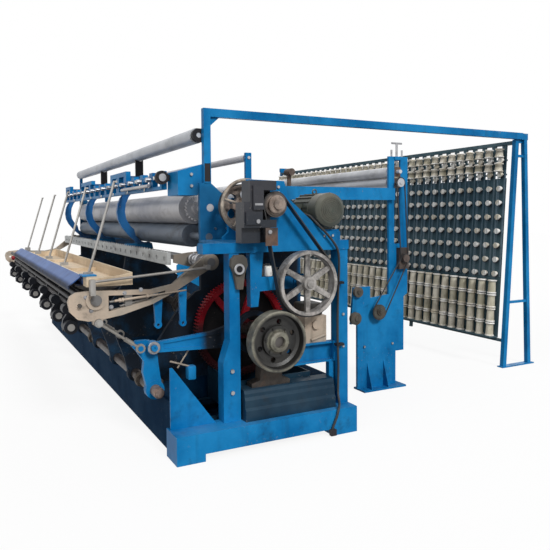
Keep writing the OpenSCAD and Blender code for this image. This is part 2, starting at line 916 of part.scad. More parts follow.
module motor_shaft() {
    color(steel) {
        bar(-650, -301, motor_y, motor_z, 19);
        turned(motor_y, motor_z, [
            [0, pulley_x0], [motor_pulley_r, pulley_x0], [motor_pulley_r, pulley_x1],
            [36, pulley_x1], [34, pulley_x1 + 18], [0, pulley_x1 + 18]
        ]);
    }
}

// ------------------------------------------------------------------- rollers

module take_up_roller(y, z, r) {
    bar(barrel_x0, barrel_x1, y, z, r);
    bar(x_far - 5, x_in - 1, y, z, journal_r);
}

module main_roller() {
    color(grey)
        take_up_roller(drum_y, drum_z, drum_r);
    ratchet_wheel();
}

module low_roller() {
    color(grey)
        take_up_roller(low_y, low_z, low_drum_r);
}

module back_roller() {
    color(grey)
        take_up_roller(back_y, back_z, back_drum_r);
}

// Ratchet wheel and collar keyed on the near journal of the large roller.
module ratchet_wheel() {
    color(rust) {
        translate([barrel_x1 + 60, drum_y, drum_z])
            rotate([90, 0, 90])
                linear_extrude(40)
                    polygon([
                        for (i = [0:23])
                            for (k = [[92, 0], [106, 4]])
                                [k[0] * cos(i * 15 + k[1]), k[0] * sin(i * 15 + k[1])]
                    ]);
        bar(barrel_x1 + 20, barrel_x1 + 150, drum_y, drum_z, 56);
    }
}

module top_roller() {
    color(grey) {
        bar(x_far + 60, x_in - 100, top_y, top_z, top_roller_r);
        bar(x_far + 2, x_in - 50, top_y, top_z, 20);
    }
}

module guide_roller() {
    color(grey) {
        bar(x_far + 50, x_in - 20, guide_y, guide_z, guide_r);
        bar(x_far - 8, x_in + 40, guide_y, guide_z, 12);
    }
}

module feed_roller_low() {
    color(grey) {
        bar(x_far + 80, x_in - 160, feed_y, feed_low_z, feed_r);
        bar(x_far - 30, x_in + 12, feed_y, feed_low_z, 18);
        bar(x_in - 20, x_in - 6, feed_y, feed_low_z, 34);
        bar(x_in - 6.5, x_in + 4, feed_y, feed_low_z, 40);
    }
}

module feed_roller_up() {
    color(grey) {
        bar(x_far + 80, x_in - 160, feed_y, feed_up_z, feed_r);
        bar(x_far - 20, x_in - 4, feed_y, feed_up_z, 18);
    }
}

// ---------------------------------------------------------------- feed stand

module feed_stand(x0) {
    difference() {
        union() {
            plate(x0, x0 + 24, [
                [feed_y - 452, 16], [feed_y - 19, 16], [feed_y - 19, 324], [feed_y + 75, 324],
                [feed_y + 75, 831], [feed_y + 119, 860], [feed_y + 119, 2138],
                [feed_y - 100, 2138], [feed_y - 100, 860], [feed_y - 407, 831],
                [feed_y - 452, 790]
            ]);
            box(x0 - 60, x0 + 110, feed_y - 435, feed_y + 37, 0, 16);
            for (y = [feed_y - 335, feed_y - 150])
                translate([x0 + 20, y, 15])
                    rotate([90, 0, 0])
                        linear_extrude(12)
                            polygon([[0, 0], [84, 0], [0, 250]]);
            box(x0 - 12, x0 + 36, feed_y - 36, feed_y + 36, 2108, 2138);
        }
        box(x0 - 1, x0 + 25, feed_y - 36, feed_y + 36, 1330, 2100);
        bar(x0 - 1, x0 + 25, feed_y - 251, feed_shaft_z, 16 + fit);
        translate([x0 + 12, feed_y, 2090])
            cylinder(h = 60, r = 11 + fit);
    }
}

module feed_stands() {
    color(blue) {
        feed_stand(feed_x);
        feed_stand(x_far + 10);
        difference() {
            plate(feed_x + 24.5, x_in - 24, [
                [feed_y - 540, 620], [feed_y - 420, 640], [feed_y - 410, 760],
                [feed_y - 330, 800], [feed_y - 330, 950], [feed_y - 510, 950]
            ]);
            bar(feed_x + 24, x_in - 23, feed_y - 507, low_pulley_z, 12 + fit);
            bar(feed_x + 24, x_in - 23, feed_y - 478, high_pulley_z, 12 + fit);
        }
    }
}

module tee_screw() {
    color(steel) {
        translate([feed_x + 12, feed_y, feed_up_z + 45])
            cylinder(h = 2262 - feed_up_z - 45, r = 11);
        translate([feed_x + 12, feed_y - 58, 2262])
            rotate([-90, 0, 0])
                cylinder(h = 116, r = 9);
    }
}

module feed_shaft() {
    color(iron) {
        bar(feed_x - 20, x_in + 40, feed_y - 251, feed_shaft_z, 16);
        turned(feed_y - 251, feed_shaft_z, [
            [0, x_in - 20], [52, x_in - 20], [52, x_in - 6], [66, x_in - 6], [66, x_in + 18],
            [34, x_in + 18], [30, x_in + 30], [0, x_in + 30]
        ]);
    }
}

module stand_pulley(y, z, r) {
    turned(y, z, [
        [0, feed_x + 30], [12, feed_x + 30], [12, x_in - 20], [r, x_in - 20],
        [r - 6, x_in - 4], [r, x_in + 12], [22, x_in + 16], [18, x_in + 26], [0, x_in + 26]
    ]);
}

module low_pulley() {
    color(cream)
        stand_pulley(feed_y - 507, low_pulley_z, 56);
}

module high_pulley() {
    color(cream)
        stand_pulley(feed_y - 478, high_pulley_z, 46);
}

// --------------------------------------------------------- net tray carriage

module carriage_shafts() {
    color(steel) {
        bar(far_arm_x0 - 6, arm_x1 + 10, swing_y, swing_z, swing_r);
        bar(far_arm_x0 - 10, arm_x1 + 24, tube_y, tube_z, carriage_tube_r);
        for (x = [-560, x_in - 700, stand_x[0] + 200, stand_x[0] - 800, tray_x0 + 40, rod_xs[4] + 7, rail_x0 + 60])
            plate(x - 14, x, [
                [-454, 1040], [-454, 1100], [tray_front - 36, 1132], [tray_front - 36, 1143.5],
                [tray_front + tray_depth - 10, 1143.5],
                [tray_front + tray_depth - 10, 1130], [-330, 1078], [-360, 1040], [-413, 1012]
            ]);
    }
}

// Cast end arm: an open frame from the round nose to the swing shaft boss.
module end_arm(x0, x1) {
    difference() {
        union() {
            plate(x0, x1, [
                [-586, 1046], [-574, 1084], [-534, 1108], [-419, 1116], [-250, 1108],
                [-35, 1100], [115, 1128], [330, 1300], [430, 1318], [452, 1271], [430, 1222],
                [370, 1212], [115, 1070], [-35, 1002], [-240, 944], [-370, 924], [-461, 918],
                [-530, 936], [-574, 984]
            ]);
            bar(x0 - 8, x1 + 12, tube_y, tube_z, 64);
            bar(x0 - 8, x1 + 8, swing_y, swing_z, 58);
            plate(x0, x1, [[-436, 935], [-364, 935], [-372, 890], [-400, 874], [-428, 890]]);
        }
        plate(x0 - 9, x1 + 13, [
            [-330, 1080], [-40, 1070], [60, 1090], [56, 1078], [-40, 1032], [-330, 974]
        ]);
        bar(x0 - 9, x1 + 13, tube_y, tube_z, carriage_tube_r);
        bar(x0 - 9, x1 + 13, swing_y, swing_z, swing_r);
        bar(x0 - 9, x1 + 13, -516, 1026, 13);
        bar(x0 - 9, x1 + 13, lug_y, lug_z, lug_pin_r);
    }
}

module end_arms() {
    color(cream) {
        end_arm(arm_x0, arm_x1);
        end_arm(far_arm_x0, far_arm_x1);
    }
}

// Adjusting rods and clamp blocks inside the near arm's frame, the nose bolt
// and the pins of the two hanging links.
module arm_rods() {
    color(steel) {
        strut(-405, -320, 1034, -50, 1052, 9);
        strut(-405, -250, 1002, -60, 1040, 8);
        plate(-422, -388, [[-220, 997.5], [-170, 1007.5], [-170, 1073.5], [-220, 1075]]);
        strut(rod_out_x, -437, 1180, 356, 1240, 9);
        box(arm_x1 + 12.5, rod_out_x + 12, -456, -424, 1092, 1194);
        box(arm_x1 + 8.5, rod_out_x + 12, 332, 365, 1226, 1256);
        bar(arm_x0 - 20, arm_x1 + 26, -516, 1026, 12.95);
        bar(arm_x0 - 6, rod_x + 12, lug_y, lug_z, lug_pin_r - fit);
        bar(rod_x + 12, rod_x + 18, lug_y, lug_z, 26);
        hex_bolt(rod_x + 18, lug_y, lug_z, 18, 12);
        bar(-464, arm_x0, link_a_at[0], link_a_at[1], 12);
        bar(-464, arm_x0, link_b_at[0], link_b_at[1], 12);
    }
}

module net_tray() {
    x0 = tray_x0;
    x1 = tray_x1;
    y0 = tray_front;
    y3 = tray_front + tray_depth;
    y1 = y0 + board_t + board_gap;
    y2 = y3 - board_t - board_gap;
    z0 = tray_z - 6;
    z1 = z0 + board_t + board_gap;
    cell = (x1 - x0 - board_t) / tray_cells;
    color([0.68, 0.55, 0.36]) {
        box(x0, x1, y0, y3, z0, z0 + board_t);
        box(x0, x1, y0, y0 + board_t, z1, z0 + 62);
        box(x0, x1, y3 - board_t, y3, z1, z0 + 84);
        for (i = [0, tray_cells])
            plate(x0 + i * cell, x0 + i * cell + board_t, [
                [y1, z1], [y2, z1], [y2, z0 + 82], [y2 - 100, z0 + 62], [y1, z0 + 56]
            ]);
        for (i = [1:tray_cells - 1])
            box(x0 + i * cell, x0 + i * cell + board_t, y1, y2, z1, z0 + 36);
    }
}

// Folded shield along the front of the carriage.
module front_rail() {
    color([0.16, 0.3, 0.6])
        plate(rail_x0, tray_x1 - 123, [
            [tray_front - 0.5, 1207], [tray_front - 16, 1207], [-566, 1146], [-566, 1122],
            [-560, 1122], [-560, 1142], [tray_front - 15, 1201], [tray_front - 6, 1201],
            [tray_front - 6, 1150], [tray_front - 40, 1150], [tray_front - 40, 1144],
            [tray_front - 0.5, 1144]
        ]);
}

module upright_rods() {
    color(steel)
        for (x = rod_xs) {
            strut(x, tray_front + 35, 1220, -252, 1840, upright_r);
            box(x - 16, x + 16, tray_front + 3, tray_front + 63, 1207.5, 1232);
            bar(x - 10, x + 60, -252, 1834, 7);
        }
        box(rod_xs[4] - 16, rod_xs[4] + 16, tray_front + 3, tray_front + 63, 1144, 1208);
        for (x = lever_x)
            bar(x - 76, x + 76, -490, 800, 25.95);
}

// Bar with the row of net hooks; it slides lengthwise in front of the rollers.
module hook_bar() {
    x0 = x_far + 80;
    slot_x = x_in - 190;
    hook_x = x_in - 130;
    color(grey) {
        difference() {
            box(x0, x_in - 90, 234, 263.5, 1223, 1318);
            for (i = [0:floor((slot_x - x0 - 10) / hook_slot_pitch)])
                box(slot_x - i * hook_slot_pitch, slot_x + 60 - i * hook_slot_pitch, 226, 244,
                    1252, 1284);
        }
        for (i = [0:floor((hook_x - x0 - 10) / hook_pitch)])
            translate([hook_x - i * hook_pitch, 248, 1317])
                cylinder(h = 15, r1 = 4, r2 = 2);
    }
}

// -------------------------------------------------- rock shaft and its rods

module rock_shaft() {
    color(iron) {
        bar(x_far - 20, -340, rock_y, rock_z, rock_r);
        bar(-338, -322, rock_y, rock_z, 26);
    }
}

module rock_lever() {
    color(blue) {
        difference() {
            union() {
                plate(-484, -436, [
                    [-62, rock_z], [44, rock_z], [22, 540], [6, pin_z - 10], [10, pin_z + 30],
                    [-60, pin_z + 46], [boss_y - 10, boss_z + 36], [boss_y - 38, boss_z],
                    [boss_y - 6, boss_z - 36], [-84, 600], [-92, 520]
                ]);
                bar(-490, -430.5, rock_y, rock_z, 66);
                bar(-440, -360, pin_y, pin_z, 22);
                bar(-440, rod_x + 14, boss_y, boss_z, 18);
            }
            bar(-491, -429, rock_y, rock_z, rock_r);
            bar(-367, -359, pin_y, pin_z, 9);
        }
        for (x = lever_x)
            difference() {
                union() {
                    plate(x - 30, x, [
                        [-62, rock_z], [44, rock_z], [10, 560], [-40, 690],
                        [boss_y + 14, boss_z + 32], [boss_y - 30, boss_z + 8],
                        [boss_y - 20, boss_z - 40], [-92, 520]
                    ]);
                    bar(x - 40, x + 10, rock_y, rock_z, 62);
                    bar(x - 30, x + 34, boss_y, boss_z, 18);
                }
                bar(x - 41, x + 11, rock_y, rock_z, rock_r);
            }
    }
}

// Rod from the rock lever to the eccentric on the main shaft.
module connecting_rod() {
    x0 = arm_x0 + 3;
    x1 = arm_x1 - 3;
    color(blue)
        difference() {
            union() {
                plate(x0, x1, [
                    [pin_y, pin_z - 34], [pin_y, pin_z + 34], [400, 770], [640, 836],
                    [640, 630], [400, 650]
                ]);
                bar(x0, x1, pin_y, pin_z, 46);
                bar(x0, x1, main_y, main_z + 2, 160);
            }
            plate(x0 + 34, x1 + 1, [
                [40, pin_z - 14], [40, pin_z + 22], [400, 748], [540, 760], [540, 668], [400, 672]
            ]);
            bar(x0 - 1, x1 + 1, pin_y, pin_z, 22 + fit);
            bar(x0 - 1, x1 + 1, main_y, main_z + 2, 127);
        }
}

// Push rod from a rock lever to a lug on the carriage.
module push_rod(x) {
    difference() {
        union() {
            strut(x, boss_y, boss_z, lug_y, lug_z, 9);
            bar(x - 8, x + 8, boss_y, boss_z, 32);
            bar(x - 8, x + 8, lug_y, lug_z, 28);
            strut(x, boss_y - 50, boss_z + 36, boss_y - 106, boss_z + 76, 15);
        }
        bar(x - 20, x + 20, boss_y, boss_z, 18 + fit);
        bar(x - 20, x + 20, lug_y, lug_z, lug_pin_r + 7);
    }
}

module push_rods() {
    color(steel) {
        push_rod(rod_x);
        for (x = lever_x)
            push_rod(x + 20);
    }
}

// Cast arms that hang from the carriage tube, each with the pin of its push
// rod and a round weight.
module drop_arms() {
    color(navy)
        for (x = lever_x) {
            difference() {
                plate(x - 40, x, [
                    [-470, 1040], [-356, 1040], [-352, 930], [-372, 872], [-430, 850],
                    [-440, 770], [-490, 742], [-540, 770], [-536, 850], [-480, 930]
                ]);
                bar(x - 41, x + 1, tube_y, tube_z, carriage_tube_r + fit);
                bar(x - 41, x + 1, -490, 800, 26);
            }
            bar(x - 1, x + 34, lug_y, lug_z, lug_pin_r);
            bar(x + 33, x + 39, lug_y, lug_z, 26);
            difference() {
                bar(x - 70, x + 70, -490, 800, 50);
                bar(x - 77, x + 77, -490, 800, 26);
            }
            bar(x - 60, x + 50, lug_y - 110, lug_z + 26, 36);
        }
}

module hanging_link(at, foot_z) {
    color(blue)
        difference() {
            union() {
                plate(-458, -432, [
                    [at[0] - 32, at[1]], [at[0] + 32, at[1]],
                    [at[0] + 20, foot_z], [at[0] - 20, foot_z]
                ]);
                bar(-458, -432, at[0], at[1], 34);
                bar(-458, -432, at[0], foot_z, 26);
            }
            bar(-459, -431, at[0], at[1], 12 + fit);
            bar(-459, -431, at[0], foot_z, 10);
        }
}

module link_a() {
    hanging_link(link_a_at, 846);
}

module link_b() {
    hanging_link(link_b_at, 846);
}

// --------------------------------------------------------------------- creel

function lean_y(z) = creel_foot_y + z * tan(creel_lean);

function strut_y(z) = 4170 - (z - 11) * 0.0356;

// Leaning end frame of the creel, standing on its foot bar.
module creel_end(x0) {
    top = beam_under - 0.5;
    plate(x0, x0 + 46, [
        [lean_y(11), 11], [lean_y(11) + 46, 11], [lean_y(top) + 48, top], [lean_y(top), top]
    ]);
    plate(x0, x0 + 46, [
        [strut_y(11), 11], [strut_y(11) + 46, 11], [strut_y(top) + 44, top], [strut_y(top), top]
    ]);
    for (z = [664, beam_under - 183])
        box(x0 + 10, x0 + 36, lean_y(z) + 38, strut_y(z) + 8, z, z + 26);
    box(x0 - 14, x0 + 60, creel_foot_y - 20, machine_back, 0, 12);
    box(x0, x0 + 46, 4040.5, 4140, beam_under - 1, post_top);
}

module creel_frames() {
    color(blue) {
        creel_end(creel_x1 - 46);
        creel_end(creel_x0);
        box(creel_x0, creel_x0 + 46, 3950, 4041, beam_under - 1, post_top);
        box(creel_x1 - 46, creel_x1 - 26, lean_y(beam_under) + 38, strut_y(beam_under) + 10,
            beam_under - 33, beam_under - 0.5);
    }
}

// Everything on the leaning panel is drawn upright and tipped back once.
module lean() {
    translate([0, creel_foot_y, 0])
        rotate([-creel_lean, 0, 0])
            children();
}

module creel_columns() {
    color(navy)
        lean()
            for (i = [0:column_count - 1])
                box(first_column_x - i * column_pitch - column_w / 2,
                    first_column_x - i * column_pitch + column_w / 2,
                    10, 24, 292.5, panel_top - 36.5);
}

module creel_rails() {
    color(navy)
        lean() {
            box(creel_x0 + 46.5, creel_x1 - 46.5, 2, 42, panel_top - 36, panel_top);
            box(creel_x0 + 46.5, creel_x1 - 46.5, 2, 32, 262, 292);
            box(creel_x0 + 60, creel_x1 - 100, -2 * spool_r - 16, 1.5, stack_z - 12, stack_z - 0.5);
            box(creel_x0 + 60, creel_x1 - 100, 3, 9.5, stack_z - 12,
                first_row_z + (rows - 2) * row_pitch - 30);
            box(-2330, -2290, 2, 26, 200, 262.5);
            for (j = [0:rows - 1])
                box(creel_x0 + 60, creel_x1 - 100, -4, 9.5, first_row_z + j * row_pitch,
                    first_row_z + 18 + j * row_pitch);
        }
}

// Puts its children on every place of the cup grid, with Z off the panel.
module cup_places() {
    for (i = [0:column_count - 1])
        for (j = [0:rows - 1])
            translate([first_column_x - i * column_pitch, -4.5, first_row_z + 9 + j * row_pitch])
                rotate([90, 0, 0])
                    children();
}

module guide_cups() {
    color([0.8, 0.77, 0.68])
        lean()
            cup_places()
                difference() {
                    cylinder(h = cup_len, r1 = cup_r, r2 = cup_r - 4, $fn = 24);
                    translate([0, 0, cup_len - 12])
                        cylinder(h = 13, r = cup_r - 11, $fn = 24);
                }
}

// Dark rubber plugs in the mouths of the guide cups.
module cup_plugs() {
    color(black)
        lean()
            cup_places()
                translate([0, 0, cup_len - 11.5])
                    cylinder(h = 10.5, r = cup_r - 11.5, $fn = 16);
}

module spool_stacks() {
    color([0.82, 0.79, 0.68])
        lean()
            for (i = [0:column_count - 1])
                translate([first_column_x - i * column_pitch, -spool_r - 8, stack_z])
                    rotate_extrude($fn = 24)
                        polygon(concat([[0, 0]],
                            [for (k = [0:stack_count - 1]) each [
                                [spool_r, k * spool_h], [spool_r, k * spool_h + 9],
                                [spool_r - 5, k * spool_h + 14],
                                [spool_r - spool_taper, (k + 1) * spool_h - 8],
                                [spool_r - spool_taper - 6, (k + 1) * spool_h]
                            ]],
                            [[0, stack_count * spool_h]]));
}

// ------------------------------------------------------------- small pieces

module hex_bolt(x, y, z, r, h) {
    translate([x, y, z])
        rotate([0, 90, 0])
            cylinder(h = h, r = r, $fn = 6);
}

module frame_bolts() {
    color(steel) {
        for (z = [390, 540])
            hex_bolt(end_x1, 438, z, 15, 16);
        for (z = [620, 860])
            hex_bolt(end_x1, 1344, z, 11, 12);
        for (y = [1180, 1250])
            hex_bolt(bench_x1, y, 1450, 10, 10);
        for (z = [1760, 1800])
            hex_bolt(bench_x1, 800, z, 11, 12);
        for (y = [600, 700])
            hex_bolt(x_in, y, 1500, 11, 12);
        for (y = [feed_y - 380, feed_y - 60])
            hex_bolt(feed_x + 24, y, 400, 11, 12);
        for (y = [feed_y - 60, feed_y + 60])
            translate([feed_x + 12, y, 2138])
                cylinder(h = 62, r = 9);
        bar(x_in - 204.5, x_in - 194, 240, beam_z + 91, 30);
        box(40, 43, 546, 604, 1668, 1682);
        bar(36, 43, 570, 1562, 14);
        bar(28, 38, 660, 1490, 14);
        for (z = [beam_z + 20, beam_z + 110])
            hex_bolt(x_in - plate_t, 420, z, 13, 14);
    }
}

// Two clips that hold the cable on the rear column, and the gland on the sill.
module cable_clips() {
    color(black) {
        for (z = [1100, 640])
            difference() {
                box(end_x1, end_x1 + 42, 1266, 1330, z - 9, z + 9);
                box(end_x1 + 10, end_x1 + 38, 1270, 1304, z - 10, z + 10);
            }
        difference() {
            box(0, 30, 1146, 1190, 10, 54);
            translate([13, 1168, 40])
                cylinder(h = 20, r = cable_r + 0.5);
        }
    }
}

function at(p, i) = p[max(0, min(len(p) - 1, i))];

function smooth(a, b, c, d, t) = 0.5 * ((2 * b) + (c - a) * t
    + (2 * a - 5 * b + 4 * c - d) * t * t + (3 * b - a - 3 * c + d) * t * t * t);

function unit(v) = v / norm(v);

module power_cable() {
    sides = 8;
    steps = 4;
    p = cable_route;
    pts = [
        for (i = [0:len(p) - 2])
            for (k = [0:steps - 1])
                smooth(at(p, i - 1), p[i], at(p, i + 1), at(p, i + 2), k / steps),
        p[len(p) - 1]
    ];
    n = len(pts);
    rings = [
        for (i = [0:n - 1])
            let (
                t = unit(at(pts, i + 1) - at(pts, i - 1)),
                u = unit(cross(t, [0.35, 0.93, 0.1])),
                v = cross(t, u)
            )
                for (s = [0:sides - 1])
                    pts[i] + cable_r * (cos(s * 360 / sides) * u + sin(s * 360 / sides) * v)
    ];
    color(black)
        polyhedron(points = rings, faces = concat(
            [[for (s = [0:sides - 1]) s]],
            [for (i = [0:n - 2]) for (s = [0:sides - 1])
                [i * sides + s, (i + 1) * sides + s, (i + 1) * sides + (s + 1) % sides,
                    i * sides + (s + 1) % sides]],
            [[for (s = [sides - 1:-1:0]) (n - 1) * sides + s]]
        ));
}

// ------------------------------------------------- groups of like pieces

module cross_beams() {
    portal_beam();
    tie_beams();
}

module frame_posts() {
    main_post();
    far_post();
    rear_posts();
    cover_box();
}

module steel_fittings() {
    frame_bolts();
    lattice_fittings();
}

module black_fittings() {
    top_bearings();
    cable_clips();
}

module beige_castings() {
    shaft_brackets();
    pump_box();
    column_bearing();
}

module creel_rack() {
    creel_rails();
    creel_columns();
}

module carriage_rods() {
    arm_rods();
    upright_rods();
}

place() end_sill();
place() end_frame();
place() oil_pan();
place() deck();
place() motor_bench();
place() clutch_housing();
place() shaft_pedestal();
place() base_plinths();
place() inner_frame();
place() far_frame();
place() stand_frames();
place() c_arms();
place() lattice_beam();
place() frame_posts();
place() cross_beams();
place() black_fittings();
place() rust_castings();
place() beige_castings();
place() motor_body();
place() feed_stands();
place() drive_belts();
place() steel_fittings();
place() power_cable();
place() creel_frames();
place() creel_rack();
place() guide_cups();
place() cup_plugs();
place() spool_stacks();
place() main_shaft();
place() main_gear();
place() gear_web();
place() drum_wheel();
place() belt_wheel();
place() clutch_shaft();
place() handwheel();
place() motor_shaft();
place() main_roller();
place() low_roller();
place() back_roller();
place() top_roller();
place() guide_roller();
place() feed_roller_low();
place() feed_roller_up();
place() feed_shaft();
place() low_pulley();
place() high_pulley();
place() tee_screw();
place() carriage_shafts();
place() end_arms();
place() carriage_rods();
place() net_tray();
place() front_rail();
place() hook_bar();
place() rock_shaft();
place() rock_lever();
place() connecting_rod();
place() push_rods();
place() link_a();
place() link_b();
place() drop_arms();
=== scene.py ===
"""Looks of the fishing net making machine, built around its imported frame.

Axes follow the frame: +X along the machine to the drive end, -Y to the net
tray, +Y to the creel, +Z up, in metres.
"""

import json
import logging
import math
from dataclasses import dataclass
from enum import Enum
from typing import Dict, Optional, Sequence, Tuple, Union

import bmesh
import bpy
from mathutils import Matrix, Vector

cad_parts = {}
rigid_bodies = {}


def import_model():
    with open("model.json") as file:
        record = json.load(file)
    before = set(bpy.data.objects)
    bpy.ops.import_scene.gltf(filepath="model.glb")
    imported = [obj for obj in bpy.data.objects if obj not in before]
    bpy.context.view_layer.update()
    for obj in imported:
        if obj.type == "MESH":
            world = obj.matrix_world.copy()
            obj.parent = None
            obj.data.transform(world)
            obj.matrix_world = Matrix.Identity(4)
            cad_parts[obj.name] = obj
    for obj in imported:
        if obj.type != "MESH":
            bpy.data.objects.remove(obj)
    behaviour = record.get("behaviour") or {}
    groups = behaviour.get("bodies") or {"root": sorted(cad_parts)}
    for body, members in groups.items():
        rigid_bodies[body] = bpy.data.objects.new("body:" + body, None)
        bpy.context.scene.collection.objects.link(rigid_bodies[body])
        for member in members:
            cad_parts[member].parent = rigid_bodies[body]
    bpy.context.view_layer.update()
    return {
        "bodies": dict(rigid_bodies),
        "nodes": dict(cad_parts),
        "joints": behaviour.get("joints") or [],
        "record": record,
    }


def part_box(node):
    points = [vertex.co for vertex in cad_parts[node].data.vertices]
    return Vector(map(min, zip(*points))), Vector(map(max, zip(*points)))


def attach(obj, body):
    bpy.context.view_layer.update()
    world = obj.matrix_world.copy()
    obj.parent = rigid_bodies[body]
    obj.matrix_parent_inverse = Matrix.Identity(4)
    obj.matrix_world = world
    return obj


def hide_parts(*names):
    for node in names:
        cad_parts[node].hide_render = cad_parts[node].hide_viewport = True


LOG = logging.getLogger("net_machine")
Colour = Tuple[float, float, float]
Point = Tuple[float, float, float]
Pair = Tuple[float, float]
Place = Sequence[float]
Inputs = Dict[str, object]
Material = bpy.types.Material
X_AXIS: Point = (1.0, 0.0, 0.0)
Y_AXIS: Point = (0.0, 1.0, 0.0)
Z_AXIS: Point = (0.0, 0.0, 1.0)
TO_TRAY: Point = (0.0, -1.0, 0.0)


# --- shader maths


class Sig:
    """A shader socket that takes part in Python arithmetic."""

    def __init__(self, graph: "Graph", socket: bpy.types.NodeSocket) -> None:
        """Keeps the graph and the output socket."""
        self.graph = graph
        self.socket = socket

    def _math(self, operation: str, first: object, second: object) -> "Sig":
        """Adds one Math node.

        Args:
            operation: what it does with the two.
            first: value or socket.
            second: value or socket.

        Returns:
            The node's result.
        """
        return self.graph.add("Math", {0: first, 1: second}, operation=operation)

    def __add__(self, other: object) -> "Sig":
        """Sum."""
        return self._math("ADD", self, other)

    __radd__ = __add__

    def __sub__(self, other: object) -> "Sig":
        """Difference."""
        return self._math("SUBTRACT", self, other)

    def __rsub__(self, other: object) -> "Sig":
        """Difference with the number first."""
        return self._math("SUBTRACT", other, self)

    def __mul__(self, other: object) -> "Sig":
        """Product."""
        return self._math("MULTIPLY", self, other)

    __rmul__ = __mul__

    def most(self, other: object) -> "Sig":
        """The larger of two values."""
        return self._math("MAXIMUM", self, other)

    def least(self, other: object) -> "Sig":
        """The smaller of two values."""
        return self._math("MINIMUM", self, other)

    def sine(self) -> "Sig":
        """The sine of the value."""
        return self._math("SINE", self, 0.0)

    def step(self, low: float, high: float) -> "Sig":
        """Rises smoothly from 0 at low to 1 at high.

        Args:
            low: value that gives 0.
            high: value that gives 1.

        Returns:
            The smooth mask.
        """
        inputs = {"Value": self, "From Min": low, "From Max": high}
        return self.graph.add("MapRange", inputs, interpolation_type="SMOOTHSTEP")


@dataclass(frozen=True)
class Zone:
    """A box of the machine, in metres, where a finish changes softly."""

    low: Point
    high: Point
    amount: float = 1.0
    soft: float = 0.06


@dataclass(frozen=True)
class Band:
    """A round band about an axis along X, in metres, where a finish changes."""

    centre: Pair
    inner: float
    outer: float
    amount: float = 1.0
    soft: float = 0.008


